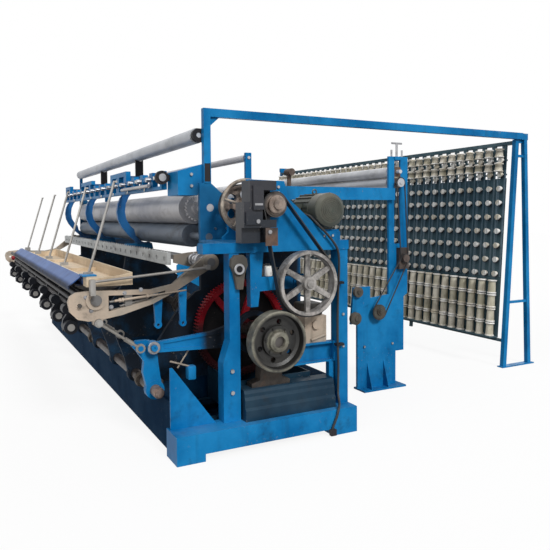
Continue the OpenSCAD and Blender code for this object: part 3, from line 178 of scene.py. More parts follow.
class Graph:
    """A node tree with one method for every kind of node."""

    def __init__(self, name: str, world: Optional[bpy.types.World] = None) -> None:
        """Starts the tree of a new material, or of the world.

        Args:
            name: the material's name.
            world: the world, if the tree is its own.
        """
        self.material = world or bpy.data.materials.new(name)
        self.material.use_nodes = True
        self.tree = self.material.node_tree
        self.tree.nodes.clear()
        self._parts: Dict[str, Sig] = {}
        if world is None:
            self.place = self.add("TexCoord", {}, "Object")

    def add(self, kind: str, inputs: Dict[object, object],
            output: Union[int, str, None] = 0, **settings: object) -> Optional[Sig]:
        """Adds one node.

        Args:
            kind: the node's type, without its prefix.
            inputs: values or links by socket name or number.
            output: the output that is returned, or None where there is none.
            settings: properties that are set before the sockets.

        Returns:
            The chosen output.
        """
        node = self.tree.nodes.new("ShaderNode" + kind)
        for key, value in settings.items():
            setattr(node, key, value)
        for key, value in inputs.items():
            socket = node.inputs[key]
            if isinstance(value, Sig):
                self.tree.links.new(value.socket, socket)
            else:
                socket.default_value = (*value, 1.0) if socket.type == "RGBA" else value
        return None if output is None else Sig(self, node.outputs[output])

    def ray(self, kind: str) -> Sig:
        """Whether a ray is of one kind.

        Args:
            kind: Camera, Glossy or Transmission.

        Returns:
            1 for such a ray, 0 for all others.
        """
        return self.add("LightPath", {}, f"Is {kind} Ray")

    def part(self, letter: str) -> Sig:
        """One coordinate of the point, in metres.

        Args:
            letter: X, Y or Z.

        Returns:
            The coordinate.
        """
        if letter not in self._parts:
            self._parts[letter] = self.add("SeparateXYZ", {0: self.place}, letter)
        return self._parts[letter]

    def facing(self, letter: str) -> Sig:
        """How far the surface faces along an axis of its own piece.

        Args:
            letter: X, Y or Z.

        Returns:
            A value from -1 to 1.
        """
        normal = self.add("TexCoord", {}, "Normal")
        return self.add("SeparateXYZ", {0: normal}, letter)

    def within(self, zone: Zone) -> Sig:
        """A soft mask of one box.

        Args:
            zone: the box, its amount and its softness.

        Returns:
            The amount inside the box, 0 outside.
        """
        mask: Optional[Sig] = None
        for letter, low, high in zip("XYZ", zone.low, zone.high):
            place = self.part(letter)
            side = place.step(low - zone.soft, low + zone.soft)
            side = side * (1.0 - place.step(high - zone.soft, high + zone.soft))
            mask = side if mask is None else mask * side
        return mask * zone.amount

    def around(self, band: Band) -> Sig:
        """A soft mask of one round band.

        Args:
            band: the band, its amount and its softness.

        Returns:
            The amount inside the band, 0 outside.
        """
        across = self.part("Y") - band.centre[0]
        height = self.part("Z") - band.centre[1]
        square = across * across + height * height
        radius = self.add("Math", {0: square}, operation="SQRT")
        mask = radius.step(band.inner - band.soft, band.inner + band.soft)
        mask = mask * (1.0 - radius.step(band.outer - band.soft, band.outer + band.soft))
        return mask * band.amount

    def noise(self, scale: float, detail: float = 4.0, rough: float = 0.55,
              stretch: Point = (1.0, 1.0, 1.0), shift: Point = (0.0, 0.0, 0.0)) -> Sig:
        """Noise on object coordinates.

        Args:
            scale: features per metre.
            detail: octaves.
            rough: weight of the fine octaves.
            stretch: factor on each axis before the noise.
            shift: offset of the pattern.

        Returns:
            A value about 0.5.
        """
        inputs = {"Vector": self.place, "Scale": stretch, "Location": shift}
        where = self.add("Mapping", inputs)
        inputs = {"Vector": where, "Scale": scale, "Detail": detail, "Roughness": rough}
        return self.add("TexNoise", inputs, "Fac")

    def mix(self, factor: object, first: object, second: object) -> Sig:
        """Mixes two colours.

        Args:
            factor: 0 gives the first, 1 the second.
            first: colour or socket.
            second: colour or socket.

        Returns:
            The mixed colour.
        """
        return self.add("Mix", {0: factor, 6: first, 7: second}, 2,
                        data_type="RGBA", clamp_factor=True)

    def bump(self, height: Sig, strength: float, distance: float) -> Sig:
        """Bump from a height signal.

        Args:
            height: the height signal.
            strength: strength from 0 to 1.
            distance: depth in metres.

        Returns:
            The bent normal.
        """
        inputs = {"Height": height, "Strength": strength, "Distance": distance}
        return self.add("Bump", inputs)

    def close(self, shader: Sig, output: str = "Material") -> bpy.types.ID:
        """Links a shader to the tree's output.

        Args:
            shader: the shader.
            output: Material or World.

        Returns:
            The finished material or world.
        """
        self.add("Output" + output, {"Surface": shader}, None)
        return self.material


# --- finishes

# The first colour below is the dark that grime and painted shade both mix toward.
SOOT_AND_SHADE: Colour = (0.011, 0.011, 0.012)
BARE_METAL: Colour = (0.24, 0.21, 0.185)
DUST: Colour = (0.3, 0.29, 0.28)
OIL_STAIN_AND_SHADE: Colour = (0.045, 0.037, 0.032)
CHALK: Colour = (0.09, 0.085, 0.08)
HAND_GRIME: Colour = (0.075, 0.065, 0.052)
WET_STAIN: Colour = (0.22, 0.18, 0.13)
# The most that grime and painted shade together may darken a surface.
FULL_SOOT_AND_SHADE = 0.97
# Painted shade under the machine and under the deck.
UNDER_MACHINE_SHADE: Tuple[Zone, ...] = (
    Zone((2.0, -1.5, -0.1), (2.79, -0.47, 1.33), 1.0, 0.04),
    Zone((-3.2, -2.05, -0.1), (2.35, -0.47, 1.3), 1.0, 0.08),
    Zone((-3.2, -1.42, 1.25), (2.25, -0.55, 1.86), 0.7, 0.08),
)
# Painted shadow of the oil pan on the sill.
SILL_PAN_SHADOW = Zone((2.62, -1.7, 0.17), (2.82, -0.6, 0.21), 0.7, 0.012)
# Painted shadow by the drum wheel.
WHEEL_SHADOW = Zone((2.8, -1.05, 1.04), (2.93, -0.62, 1.33), 0.6, 0.04)
# Painted shade on the lower part of the gear, deep in the drive bay.
GEAR_SHADE = Zone((2.3, -1.5, 0.3), (2.45, -0.7, 0.8), 0.93, 0.05)
# Painted shadow at the root of the near arm.
ARM_ROOT_SHADOW = Zone((2.35, -1.95, 1.0), (2.7, -1.2, 1.36), 0.85, 0.12)
# Painted shadow about the column bearing.
COLUMN_BEARING_SHADOW = Zone((2.88, -1.46, 1.0), (2.965, -1.2, 1.4), 0.8, 0.01)
# Painted shadow on the rock shaft bearings, low in the machine.
ROCK_BEARING_SHADOW = Zone((-4.0, -2.0, 0.3), (2.98, -1.5, 0.52), 0.85, 0.05)
# Painted shadow on the hook bar brackets.
BAR_BRACKET_SHADOW = Zone((-3.2, -1.62, 1.1), (2.4, -1.3, 1.4), 0.6, 0.05)
# Painted shadow on the lower part of the shield.
SHIELD_LOWER_SHADOW = Zone((-1.8, -2.42, 1.1), (2.6, -2.29, 1.158), 0.93, 0.012)
# Painted shadow at the root of the carriage rods.
ROD_ROOT_SHADOW = Zone((2.59, -2.26, 0.95), (2.78, -1.2, 1.4), 0.5, 0.03)
# Painted shade where the rods pass through the arm's hole.
ROD_HOLE_SHADE = Zone((2.6, -2.37, 1.0), (2.75, -2.33, 1.05), 0.9, 0.004)
# Painted shadow on the inner part of the rock shaft.
INNER_ROCK_SHAFT_SHADOW = Zone((-3.1, -1.95, 0.3), (2.58, -1.7, 0.5), 0.85, 0.03)
CLUTCH_RIM = Band((-1.106, 1.673), 0.07, 0.1, 0.75, 0.006)
DRUM_DISH = Band((-1.091, 0.731), 0.083, 0.196, 0.93, 0.01)
DRUM_BORE = Band((-1.091, 0.731), 0.0, 0.036, 0.7, 0.006)


@dataclass(frozen=True)
class Finish:
    """A surface finish, named as its material is."""

    name: str

    def material(self) -> Material:
        """Builds the material.

        Returns:
            The material.
        """
        g = Graph(self.name)
        return g.close(g.add("BsdfPrincipled", self.paint(g)))

    def paint(self, g: Graph) -> Inputs:
        """Paints the surface.

        Args:
            g: the material's graph.

        Returns:
            The shader's values by socket name.
        """
        raise NotImplementedError


def toned(colour: Colour, factors: Colour, lift: Colour = (0.0, 0.0, 0.0)) -> Colour:
    """A colour with each channel scaled and lifted, up to 1.

    Args:
        colour: the colour.
        factors: factor for each channel.
        lift: added to each channel.

    Returns:
        The new colour.
    """
    return tuple(min(1.0, c * f + more) for c, f, more in zip(colour, factors, lift))


@dataclass(frozen=True)
class Enamel(Finish):
    """Brushed machine enamel with grime, runs, chips and settled dust, and painted shade in given
    zones and on faces turned to -Y.
    """

    colour: Colour
    grime: float = 0.5
    chips: float = 0.5
    dust: float = 0.2
    gloss: float = 0.34
    shine: float = 0.3
    # Zones of painted shade; side is the share of painted shade on faces turned to -Y.
    shade_zones: Tuple[Zone, ...] = ()
    side: float = 0.0

    def paint(self, g: Graph) -> Inputs:
        """Paints the enamel."""
        pale = toned(self.colour, (1.3, 1.16, 1.1), (0.012, 0.01, 0.01))
        deep = toned(self.colour, (0.6, 0.68, 0.74))
        paint = g.mix(g.noise(1.7, 5.0, 0.6).step(0.36, 0.66), deep, pale)
        paint = g.mix(g.noise(9.0, 6.0, 0.65).step(0.46, 0.7) * 0.35, paint, self.colour)
        runs = g.noise(14.0, 3.0, 0.5, (1.0, 1.0, 0.06)).step(0.55, 0.78)
        low = 1.0 - g.part("Z").step(0.05, 0.8)
        dirt_and_shade = g.noise(5.5, 8.0, 0.68, shift=(3.1, 0.0, 0.0)).step(0.52, 0.76)
        dirt_and_shade = (dirt_and_shade * (0.55 + low * 0.35) + runs * 0.35).least(1.0) * self.grime
        # Painted shade on faces turned to -Y joins the grime.
        if self.side:
            dirt_and_shade = dirt_and_shade.most((0.0 - g.facing("Y")).step(0.3, 0.9) * self.side)
        patchy = 0.86 + g.noise(6.5, 5.0, 0.62, shift=(0.0, 1.0, 4.0)).step(0.3, 0.62) * 0.14
        # Painted shade in the given zones joins the grime.
        for zone in self.shade_zones:
            dirt_and_shade = dirt_and_shade.most(g.within(zone) * patchy)
        dirt_and_shade = dirt_and_shade.least(FULL_SOOT_AND_SHADE)
        # Grime and painted shade darken the paint together.
        colour = g.mix(dirt_and_shade, paint, SOOT_AND_SHADE)
        worn = g.noise(46.0, 5.0, 0.7, shift=(0.0, 7.3, 0.0))
        patch = g.noise(3.3, 2.0, 0.5, shift=(0.0, 0.0, 5.9)).step(0.5, 0.68)
        chip = worn.step(0.62, 0.66) * patch * self.chips
        colour = g.mix(chip, colour, BARE_METAL)
        film = g.facing("Z").step(0.55, 0.95) * g.noise(7.0, 5.0).step(0.3, 0.75)
        film = film * self.dust * (1.0 - dirt_and_shade * 0.8)
        colour = g.mix(film, colour, DUST)
        rough = self.gloss + dirt_and_shade * 0.3 + film * 0.4 + chip * 0.2
        height = g.noise(120.0, 3.0) * 0.25 + worn * 0.1 - chip * 0.6
        return {"Base Color": colour, "Roughness": rough, "Specular IOR Level": self.shine,
                "Normal": g.bump(height, 0.35, 0.0012)}


@dataclass(frozen=True)
class CastIron(Finish):
    """Rough casting with rust bloom, oil and dust, painted shade in given zones, and darker bands.
    """

    colour: Colour
    rust: float = 0.5
    rust_colour: Colour = (0.15, 0.075, 0.042)
    shine: float = 0.25
    oily: float = 0.75
    # Zones of painted shade; bands are darker rings about X.
    shade_zones: Tuple[Zone, ...] = ()
    bands: Tuple[Band, ...] = ()

    def paint(self, g: Graph) -> Inputs:
        """Paints the casting."""
        deep = toned(self.colour, (0.4, 0.4, 0.4))
        light = toned(self.colour, (1.5, 1.5, 1.5))
        skin = g.mix(g.noise(13.0, 7.0, 0.68).step(0.3, 0.68), deep, light)
        bloom = g.noise(5.2, 6.0, 0.66, shift=(1.7, 4.0, 0.0)).step(0.48, 0.68) * self.rust
        colour = g.mix(bloom, skin, self.rust_colour)
        oil_and_shade = g.noise(4.0, 5.0, 0.62, shift=(0.0, 9.0, 2.0)).step(0.5, 0.68) * self.oily
        # Painted shade in the given zones, and the darker bands, join the oil.
        for zone in self.shade_zones:
            oil_and_shade = oil_and_shade.most(g.within(zone))
        for band in self.bands:
            oil_and_shade = oil_and_shade.most(g.around(band))
        colour = g.mix(oil_and_shade, colour, SOOT_AND_SHADE)
        rough = 0.6 + bloom * 0.25 - oil_and_shade * 0.22
        grain = g.noise(190.0, 4.0, 0.7) + g.noise(34.0, 3.0) * 0.6
        return {"Base Color": colour, "Roughness": rough, "Metallic": self.shine,
                "Normal": g.bump(grain, 0.5, 0.0016)}


@dataclass(frozen=True)
class TurnedSteel(Finish):
    """Bare turned or ground steel on an X axis, with oil, light rust and painted shade in given
    zones.
    """

    colour: Colour
    rough: float = 0.34
    stain: float = 0.4
    metal: float = 1.0
    rings: float = 900.0
    # Zones of painted shade.
    shade_zones: Tuple[Zone, ...] = ()

    def paint(self, g: Graph) -> Inputs:
        """Paints the steel."""
        dull = toned(self.colour, (0.62, 0.63, 0.66))
        lines = g.noise(1.0, 2.0, 0.5, (self.rings, 3.0, 3.0))
        bands = g.noise(1.0, 4.0, 0.6, (2.6, 0.4, 0.4))
        stain_and_shade = g.noise(6.5, 6.0, 0.66, (0.5, 1.0, 1.0)).step(0.48, 0.72) * self.stain
        # Painted shade in the given zones joins the oil stains.
        for zone in self.shade_zones:
            stain_and_shade = stain_and_shade.most(g.within(zone))
        colour = g.mix(bands.step(0.35, 0.65) * 0.55 + lines * 0.25, self.colour, dull)
        colour = g.mix(stain_and_shade, colour, OIL_STAIN_AND_SHADE)
        rough = self.rough + lines * 0.12 + stain_and_shade * 0.22
        height = lines * 0.5 + stain_and_shade * 0.2
        return {"Base Color": colour, "Metallic": (1.0 - stain_and_shade * 0.4) * self.metal,
                "Roughness": rough, "Normal": g.bump(height, 0.12, 0.0008)}


@dataclass(frozen=True)
class Rubber(Finish):
    """Black rubber with chalky dust."""

    colour: Colour = (0.014, 0.014, 0.015)

    def paint(self, g: Graph) -> Inputs:
        """Paints the rubber."""
        dust = g.noise(8.0, 6.0, 0.6).step(0.45, 0.8) * 0.22
        colour = g.mix(dust, self.colour, CHALK)
        return {"Base Color": colour, "Roughness": 0.5 + dust * 0.3,
                "Normal": g.bump(g.noise(260.0, 2.0), 0.3, 0.0006)}


@dataclass(frozen=True)
class TrayBoard(Finish):
    """Thin varnished boards, paler on the upward faces of their top edges, stained by wet twine."""

    edge_height: float = 1.19

    def paint(self, g: Graph) -> Inputs:
        """Paints the boards."""
        grain = g.noise(8.0, 7.0, 0.6, (0.4, 9.0, 9.0))
        cloud = g.noise(2.2, 4.0, 0.55, (0.6, 1.6, 1.6))
        colour = g.mix(cloud.step(0.34, 0.66), (0.5, 0.38, 0.25), (0.7, 0.57, 0.41))
        colour = g.mix(grain.step(0.4, 0.75) * 0.3, colour, (0.3, 0.21, 0.12))
        stain = g.noise(3.6, 6.0, 0.66, shift=(2.0, 0.0, 0.0)).step(0.54, 0.76)
        colour = g.mix(stain * 0.45, colour, WET_STAIN)
        # Upward faces of the board tops above edge_height are made paler.
        rise = g.part("Z").step(self.edge_height, self.edge_height + 0.004)
        edge = g.facing("Z").step(0.5, 0.9) * rise
        colour = g.mix(edge * 0.85, colour, (0.82, 0.72, 0.54))
        return {"Base Color": colour, "Roughness": 0.46 + stain * 0.2 + grain * 0.1,
                "Normal": g.bump(grain, 0.2, 0.0006)}


@dataclass(frozen=True)
class Moulded(Finish):
    """Moulded plastic, slightly yellowed and handled."""

    colour: Colour
    rough: float = 0.38
    grime: float = 0.6

    def paint(self, g: Graph) -> Inputs:
        """Paints the plastic."""
        aged = toned(self.colour, (0.72, 0.66, 0.54))
        colour = g.mix(g.noise(7.5, 3.0, 0.5).step(0.4, 0.68), self.colour, aged)
        grime = g.noise(38.0, 5.0, 0.7).step(0.52, 0.72) * self.grime
        colour = g.mix(grime, colour, HAND_GRIME)
        return {"Base Color": colour, "Roughness": self.rough + grime * 0.3,
                "Normal": g.bump(g.noise(150.0, 2.0), 0.15, 0.0005)}


@dataclass(frozen=True)
class WoundTwine(Finish):
    """Cross-wound nylon twine on a cone, with painted shade in the gap over each flange."""

    first: float = 0.312
    height: float = 0.15

    def paint(self, g: Graph) -> Inputs:
        """Paints the twine."""
        z, x, y = g.part("Z"), g.part("X"), g.part("Y")
        climb = z * 820.0
        one = (climb + x * 260.0 + y * 90.0).sine() * 0.5 + 0.5
        two = (climb - x * 260.0 - y * 90.0).sine() * 0.5 + 0.5
        wound = one.most(two)
        tone = g.noise(5.5, 3.0, 0.5, (1.0, 1.0, 0.6))
        colour = g.mix(tone.step(0.36, 0.64), (0.47, 0.435, 0.32), (0.84, 0.78, 0.66))
        colour = g.mix((1.0 - wound).step(0.15, 0.85) * 0.5, colour, (0.2, 0.175, 0.115))
        # Painted shade in the gap at each spool's upper rim.
        level = (z - self.first) * (1.0 / self.height)
        along = g.add("Math", {0: level}, operation="FRACT")
        shade = along.step(0.72, 0.97) * 0.75
        colour = g.mix(shade, colour, (0.06, 0.055, 0.045))
        grime = g.noise(5.0, 5.0, 0.6).step(0.5, 0.72) * 0.45
        colour = g.mix(grime, colour, (0.09, 0.08, 0.06))
        return {"Base Color": colour, "Roughness": 0.72, "Normal": g.bump(wound, 0.6, 0.0015)}


class Slot(Enum):
    """The record's material slots."""

    BLUE = "blue_paint"
    NAVY = "navy_paint"
    RED = "red_paint"
    CREAM = "cream_paint"
    BLACK = "black_paint"
    RAIL = "rail_paint"
    MOTOR = "motor_paint"
    RUSTY = "rusty_iron"
    DARK_IRON = "dark_iron"
    WORN_IRON = "worn_iron"
    STEEL = "bright_steel"
    ROLLER = "roller_steel"
    RUBBER = "belt_rubber"
    CUP = "cup_plastic"
    TWINE = "twine"
    BOARD = "tray_wood"


SLOT_FINISH = {
    # Painted shade under the machine, by the pan and by the wheel, and on faces turned to -Y.
    Slot.BLUE: Enamel("blue enamel", (0.001, 0.185, 0.455), 0.62, 0.6, 0.12, 0.36, 0.1,
                      UNDER_MACHINE_SHADE + (SILL_PAN_SHADOW, WHEEL_SHADOW), 0.1),
    Slot.NAVY: Enamel("shaded navy enamel", (0.0005, 0.024, 0.062), 0.3, 0.3, 0.03, 0.7, 0.02),
    # Painted shade on the lower part of the gear.
    Slot.RED: Enamel("red gear enamel", (0.3, 0.005, 0.013), 0.7, 0.3, 0.05, 0.38, 0.15,
                     (GEAR_SHADE,)),
    # Painted shadow at the arm's root, the column bearing, the rock bearings and the bar brackets.
    Slot.CREAM: Enamel("worn cream enamel", (0.42, 0.37, 0.3), 0.9, 0.9, 0.2, 0.5, 0.25,
                       (ARM_ROOT_SHADOW, COLUMN_BEARING_SHADOW, ROCK_BEARING_SHADOW, BAR_BRACKET_SHADOW)),
    Slot.BLACK: Enamel("matt black enamel", (0.01, 0.01, 0.013), 0.35, 0.3, 0.15, 0.5, 0.2),
    # Painted shadow on the shield's lower part.
    Slot.RAIL: Enamel("violet blue enamel", (0.035, 0.11, 0.33), 0.5, 0.7, 0.25, 0.42, 0.2,
                      (SHIELD_LOWER_SHADOW,)),
    Slot.MOTOR: Enamel("grey green enamel", (0.085, 0.09, 0.07), 0.65, 0.5, 0.2, 0.36, 0.3),
    Slot.RUSTY: CastIron("rusted casting", (0.085, 0.062, 0.052), 0.6),
    Slot.DARK_IRON: CastIron("oiled casting", (0.06, 0.057, 0.047), 0.3),
    Slot.WORN_IRON: CastIron("bare rimmed casting", (0.3, 0.285, 0.27), 0.15, shine=0.4, oily=0.6),
    Slot.STEEL: TurnedSteel("oiled bright steel", (0.42, 0.42, 0.43), 0.32, 0.7),
    Slot.ROLLER: TurnedSteel("ground roller steel", (0.56, 0.555, 0.57), 0.38, 0.35, 0.35),
    Slot.RUBBER: Rubber("dusty rubber"),
    Slot.CUP: Moulded("ivory plastic", (0.88, 0.87, 0.8), 0.38, 0.45),
    Slot.TWINE: WoundTwine("wound twine"),
    Slot.BOARD: TrayBoard("varnished board"),
}
NODE_FINISH = {
    # Painted shadow at the rods' root and painted shade in the arm's hole.
    "carriage_rods": TurnedSteel("handled rod steel", (0.44, 0.42, 0.39), 0.36, 0.55, 0.6, 300.0,
                                 (ROD_ROOT_SHADOW, ROD_HOLE_SHADE)),
    "cup_plugs": Moulded("cup bore plastic", (0.55, 0.52, 0.46), 0.38, 0.4),
    # Painted shade under the machine and on faces turned to -Y.
    "c_arms": Enamel("deep blue enamel", (0.008, 0.13, 0.37), 0.45, 0.5, 0.2, 0.34, 0.3,
                     UNDER_MACHINE_SHADE[1:], 0.15),
    "creel_rack": Enamel("creel enamel", (0.042, 0.09, 0.115), 1.0, 0.5, 0.3, 0.5, 0.15),
    "hook_bar": TurnedSteel("hook bar steel", (0.5, 0.51, 0.5), 0.45, 0.5, 0.3),
    "top_roller": TurnedSteel("pale roller steel", (0.5, 0.52, 0.55), 0.38, 0.25, 0.3),
    "low_roller": TurnedSteel("shaded roller steel", (0.13, 0.16, 0.2), 0.45, 0.5, 0.3),
    "back_roller": TurnedSteel("shaded rear roller steel", (0.13, 0.16, 0.2), 0.45, 0.5, 0.3),
    "feed_roller_low": TurnedSteel("feed roller steel", (0.52, 0.54, 0.57), 0.36, 0.35, 0.35),
    "feed_roller_up": TurnedSteel("upper feed roller steel", (0.66, 0.67, 0.69), 0.36, 0.3, 0.35),
    "handwheel": CastIron("handled cast steel", (0.32, 0.275, 0.225), 0.3, shine=0.35, oily=0.4),
    "main_shaft": TurnedSteel("oily shaft steel", (0.13, 0.12, 0.115), 0.4, 0.95),
    # Painted shadow on the inner part of the shaft.
    "rock_shaft": CastIron("rock shaft iron", (0.2, 0.15, 0.13), 0.5, shine=0.4,
                           shade_zones=(INNER_ROCK_SHAFT_SHADOW,)),
    "push_rods": TurnedSteel("dirty rod steel", (0.3, 0.28, 0.25), 0.42, 0.8, 0.6, 300.0),
    "gear_web": Enamel("web black enamel", (0.006, 0.006, 0.007), 0.3, 0.2, 0.0, 0.6, 0.1),
    # side=0.3 paints shade on faces turned to -Y.
    "oil_pan": Enamel("oily navy enamel", (0.003, 0.03, 0.058), 0.7, 0.4, 0.05, 0.3, 0.2, side=0.3),
    "clutch_housing": Enamel("gearbox black enamel", (0.018, 0.022, 0.03), 0.5, 0.8, 0.2, 0.4,
                             0.35),
    "clutch_shaft": CastIron("clutch iron", (0.24, 0.195, 0.165), 0.35, oily=0.5,
                             bands=(CLUTCH_RIM,)),
    "carriage_shafts": TurnedSteel("carriage steel", (0.2, 0.195, 0.19), 0.42, 0.9),
    "drop_arms": Enamel("weight black enamel", (0.009, 0.012, 0.019), 0.4, 0.4, 0.15, 0.45, 0.2),
    "shaft_pedestal": CastIron("oily pedestal casting", (0.035, 0.028, 0.023), 0.4, oily=0.85),
    "drum_wheel": CastIron("drum wheel casting", (0.15, 0.145, 0.115), 0.2, oily=0.6,
                           bands=(DRUM_DISH, DRUM_BORE)),
}


# --- studio


@dataclass
class Studio:
    """Pale floor, soft light from the drive end and the camera."""

    eye: Point = (6.7355, -3.044, 1.6)
    ahead: Point = (-0.88665, 0.46044, -0.04304)
    crown: Point = (-0.03494, 0.0261, 0.99905)
    lens: float = 40.19
    lift: float = -0.06
    floor_half: float = 40.0
    sky: float = 0.38
    floor_glow: float = 0.88
    lamps: Tuple[Tuple[str, Point, float, float], ...] = (
        ("key", (0.8, 0.05, 0.6), 2.05, 14.0), ("fill", (0.35, -0.8, 0.6), 1.0, 60.0),
        ("back", (-0.5, 0.7, 0.6), 0.5, 60.0))

    def build(self) -> None:
        """Makes the floor, the world, the lamps and the camera."""
        self._floor()
        self._world()
        self._lamps()
        self._camera()
        bpy.context.scene.view_settings.view_transform = "Standard"

    def _floor(self) -> None:
        """A large pale floor that keeps the machine's shadow."""
        mesh = bmesh.new()
        bmesh.ops.create_grid(mesh, x_segments=1, y_segments=1, size=self.floor_half)
        g = Graph("pale floor")
        seen = g.ray("Camera")
        shade = g.mix(seen, (0.3, 0.3, 0.3), (0.9, 0.9, 0.9))
        lit = g.add("BsdfDiffuse", {"Color": shade})
        glow = g.add("Emission", {"Color": (1.0, 1.0, 1.0), "Strength": 1.0})
        share = (seen + g.ray("Glossy") + g.ray("Transmission")) * self.floor_glow
        g.close(g.add("MixShader", {0: share, 1: lit, 2: glow}))
        Shape(mesh).finish("floor", None, g.material, None)

    def _world(self) -> None:
        """White to the camera and in reflections, softer as a light."""
        world = bpy.data.worlds.new("studio")
        bpy.context.scene.world = world
        g = Graph("studio", world)
        seen = g.ray("Camera").most(g.ray("Glossy"))
        strength = g.add("MapRange", {"Value": seen, "To Min": self.sky, "To Max": 1.0})
        light = {"Color": (1.0, 1.0, 1.0), "Strength": strength}
        g.close(g.add("Background", light), "World")

    def _lamps(self) -> None:
        """Wide sun lamps: name, direction to it, strength and spread in degrees."""
        for name, towards, power, spread in self.lamps:
            light = bpy.data.lights.new(name, "SUN")
            light.energy = power
            light.angle = math.radians(spread)
            lamp = bpy.data.objects.new(name, light)
            bpy.context.scene.collection.objects.link(lamp)
            lamp.rotation_euler = Vector(towards).to_track_quat("Z", "Y").to_euler()

    def _camera(self) -> None:
        """Places the camera."""
        lens = bpy.data.cameras.new("camera")
        lens.sensor_width = 36.0
        lens.lens = self.lens
        lens.shift_y = self.lift
        lens.clip_end = 200.0
        camera = bpy.data.objects.new("camera", lens)
        bpy.context.scene.collection.objects.link(camera)
        ahead = Vector(self.ahead).normalized()
        right = ahead.cross(Vector(self.crown)).normalized()
        crown = right.cross(ahead)
        turn = Matrix((right, crown, -ahead)).transposed().to_4x4()
        camera.matrix_world = Matrix.Translation(self.eye) @ turn
        bpy.context.scene.camera = camera


# --- mesh maker


class Shape:
    """A bmesh that grows by small placed parts and ends as one piece."""

    def __init__(self, mesh: Optional[bmesh.types.BMesh] = None) -> None:
        """Starts empty, or from a mesh."""
        self.mesh = mesh or bmesh.new()

    def block(self, low: Place, high: Place, bevel: float) -> None:
        """Adds a box with bevelled edges.

        Args:
            low: lowest corner.
            high: highest corner.
            bevel: width of the edge bevel.
        """
        size = Vector(high) - Vector(low)
        middle = (Vector(high) + Vector(low)) / 2
        place = Matrix.Translation(middle) @ Matrix.Diagonal((*size, 1.0))
        made = bmesh.ops.create_cube(self.mesh, size=1.0, matrix=place)
        edges = list({edge for vert in made["verts"] for edge in vert.link_edges})
        bmesh.ops.bevel(self.mesh, geom=edges, offset=bevel, segments=2, profile=0.5,
                        affect="EDGES", material=-1)

    def turned(self, centre: Place, profile: Sequence[Pair], axis: Point = X_AXIS,
               steps: int = 32) -> None:
        """Spins an open or closed profile round an axis.

        Args:
            centre: point on the axis.
            profile: (distance along the axis, radius) points.
            axis: direction of the axis.
            steps: faces round the axis.
        """
        along = Vector(axis).normalized()
        out = along.orthogonal().normalized()
        start = Vector(centre)
        verts = [self.mesh.verts.new(start + along * a + out * r) for a, r in profile]
        edges = [self.mesh.edges.new(pair) for pair in zip(verts, verts[1:])]
        bmesh.ops.spin(self.mesh, geom=verts + edges, cent=start, axis=along, dvec=(0, 0, 0),
                       angle=math.tau, steps=steps, use_merge=True)

    def ring(self, centre: Place, radius: float, wire: float,
             axis: Point = X_AXIS, steps: int = 32, sides: int = 8) -> None:
        """Adds a round ring.

        Args:
            centre: middle of the ring.
            radius: radius to the middle of the wire.
            wire: radius of the wire.
            axis: direction of the ring's axis.
            steps: faces round the ring.
            sides: faces round the wire.
        """
        corners = [math.tau * i / sides for i in range(sides + 1)]
        profile = [(wire * math.sin(a), radius + wire * math.cos(a)) for a in corners]
        self.turned(centre, profile, axis, steps)

    def rod(self, start: Place, end: Place, radius: float, sides: int = 12) -> None:
        """Adds a straight round rod with chamfered ends.

        Args:
            start: one end.
            end: the other end.
            radius: radius of the rod.
            sides: faces round it.
        """
        run = Vector(end) - Vector(start)
        tip = min(radius * 0.3, run.length * 0.2)
        profile = [(0.0, 0.0), (0.0, radius - tip), (tip, radius), (run.length - tip, radius),
                   (run.length, radius - tip), (run.length, 0.0)]
        self.turned(start, profile, tuple(run), sides)

    def repeat(self, count: int, offset: Place) -> None:
        """Repeats everything made so far in a row.

        Args:
            count: how many there are in the end.
            offset: step from one to the next.
        """
        first = self.mesh.verts[:] + self.mesh.edges[:] + self.mesh.faces[:]
        for i in range(1, count):
            made = bmesh.ops.duplicate(self.mesh, geom=first)["geom"]
            moved = [item for item in made if isinstance(item, bmesh.types.BMVert)]
            bmesh.ops.translate(self.mesh, verts=moved, vec=Vector(offset) * i)

    def hexagon(self, centre: Place, radius: float, height: float, axis: Point = X_AXIS) -> None:
        """Adds a hexagon head on a washer.

        Args:
            centre: middle of the washer's foot.
            radius: radius to the corners.
            height: height of head and washer.
            axis: direction that the head points in.
        """
        washer, rim = height * 0.2, radius * 1.35
        self.turned(centre, [(0.0, 0.0), (0.0, rim), (washer, rim), (washer, 0.0)], axis, 20)
        head = height * 0.8
        self.turned(Vector(centre) + Vector(axis).normalized() * height * 0.2,
                    [(0.0, 0.0), (0.0, radius), (height * 0.66, radius), (head, radius * 0.84),
                     (head, 0.0)], axis, 6)

    def finish(self, name: str, body: Optional[str], material: Material,
               slot: Optional[Slot], smooth: float = 40.0) -> bpy.types.Object:
        """Turns the shape into a finished piece.

        Args:
            name: the piece's name.
            body: the body that it rides on, or None for the stage.
            material: its finish.
            slot: the record's slot, or None for the stage; not used.
            smooth: edges flatter than this many degrees are shaded smooth.

        Returns:
            The object.
        """
        bmesh.ops.remove_doubles(self.mesh, verts=self.mesh.verts, dist=0.00002)
        bmesh.ops.recalc_face_normals(self.mesh, faces=self.mesh.faces)
        for face in self.mesh.faces:
            face.smooth = True
        for edge in self.mesh.edges:
            edge.smooth = edge.calc_face_angle(math.pi) < math.radians(smooth)
        data = bpy.data.meshes.new(name)
        self.mesh.to_mesh(data)
        self.mesh.free()
        piece = bpy.data.objects.new(name, data)
        bpy.context.scene.collection.objects.link(piece)
        data.materials.append(material)
        if body is not None:
            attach(piece, body)
            LOG.info("%s: %d faces on %s", name, len(data.polygons), body)
        return piece


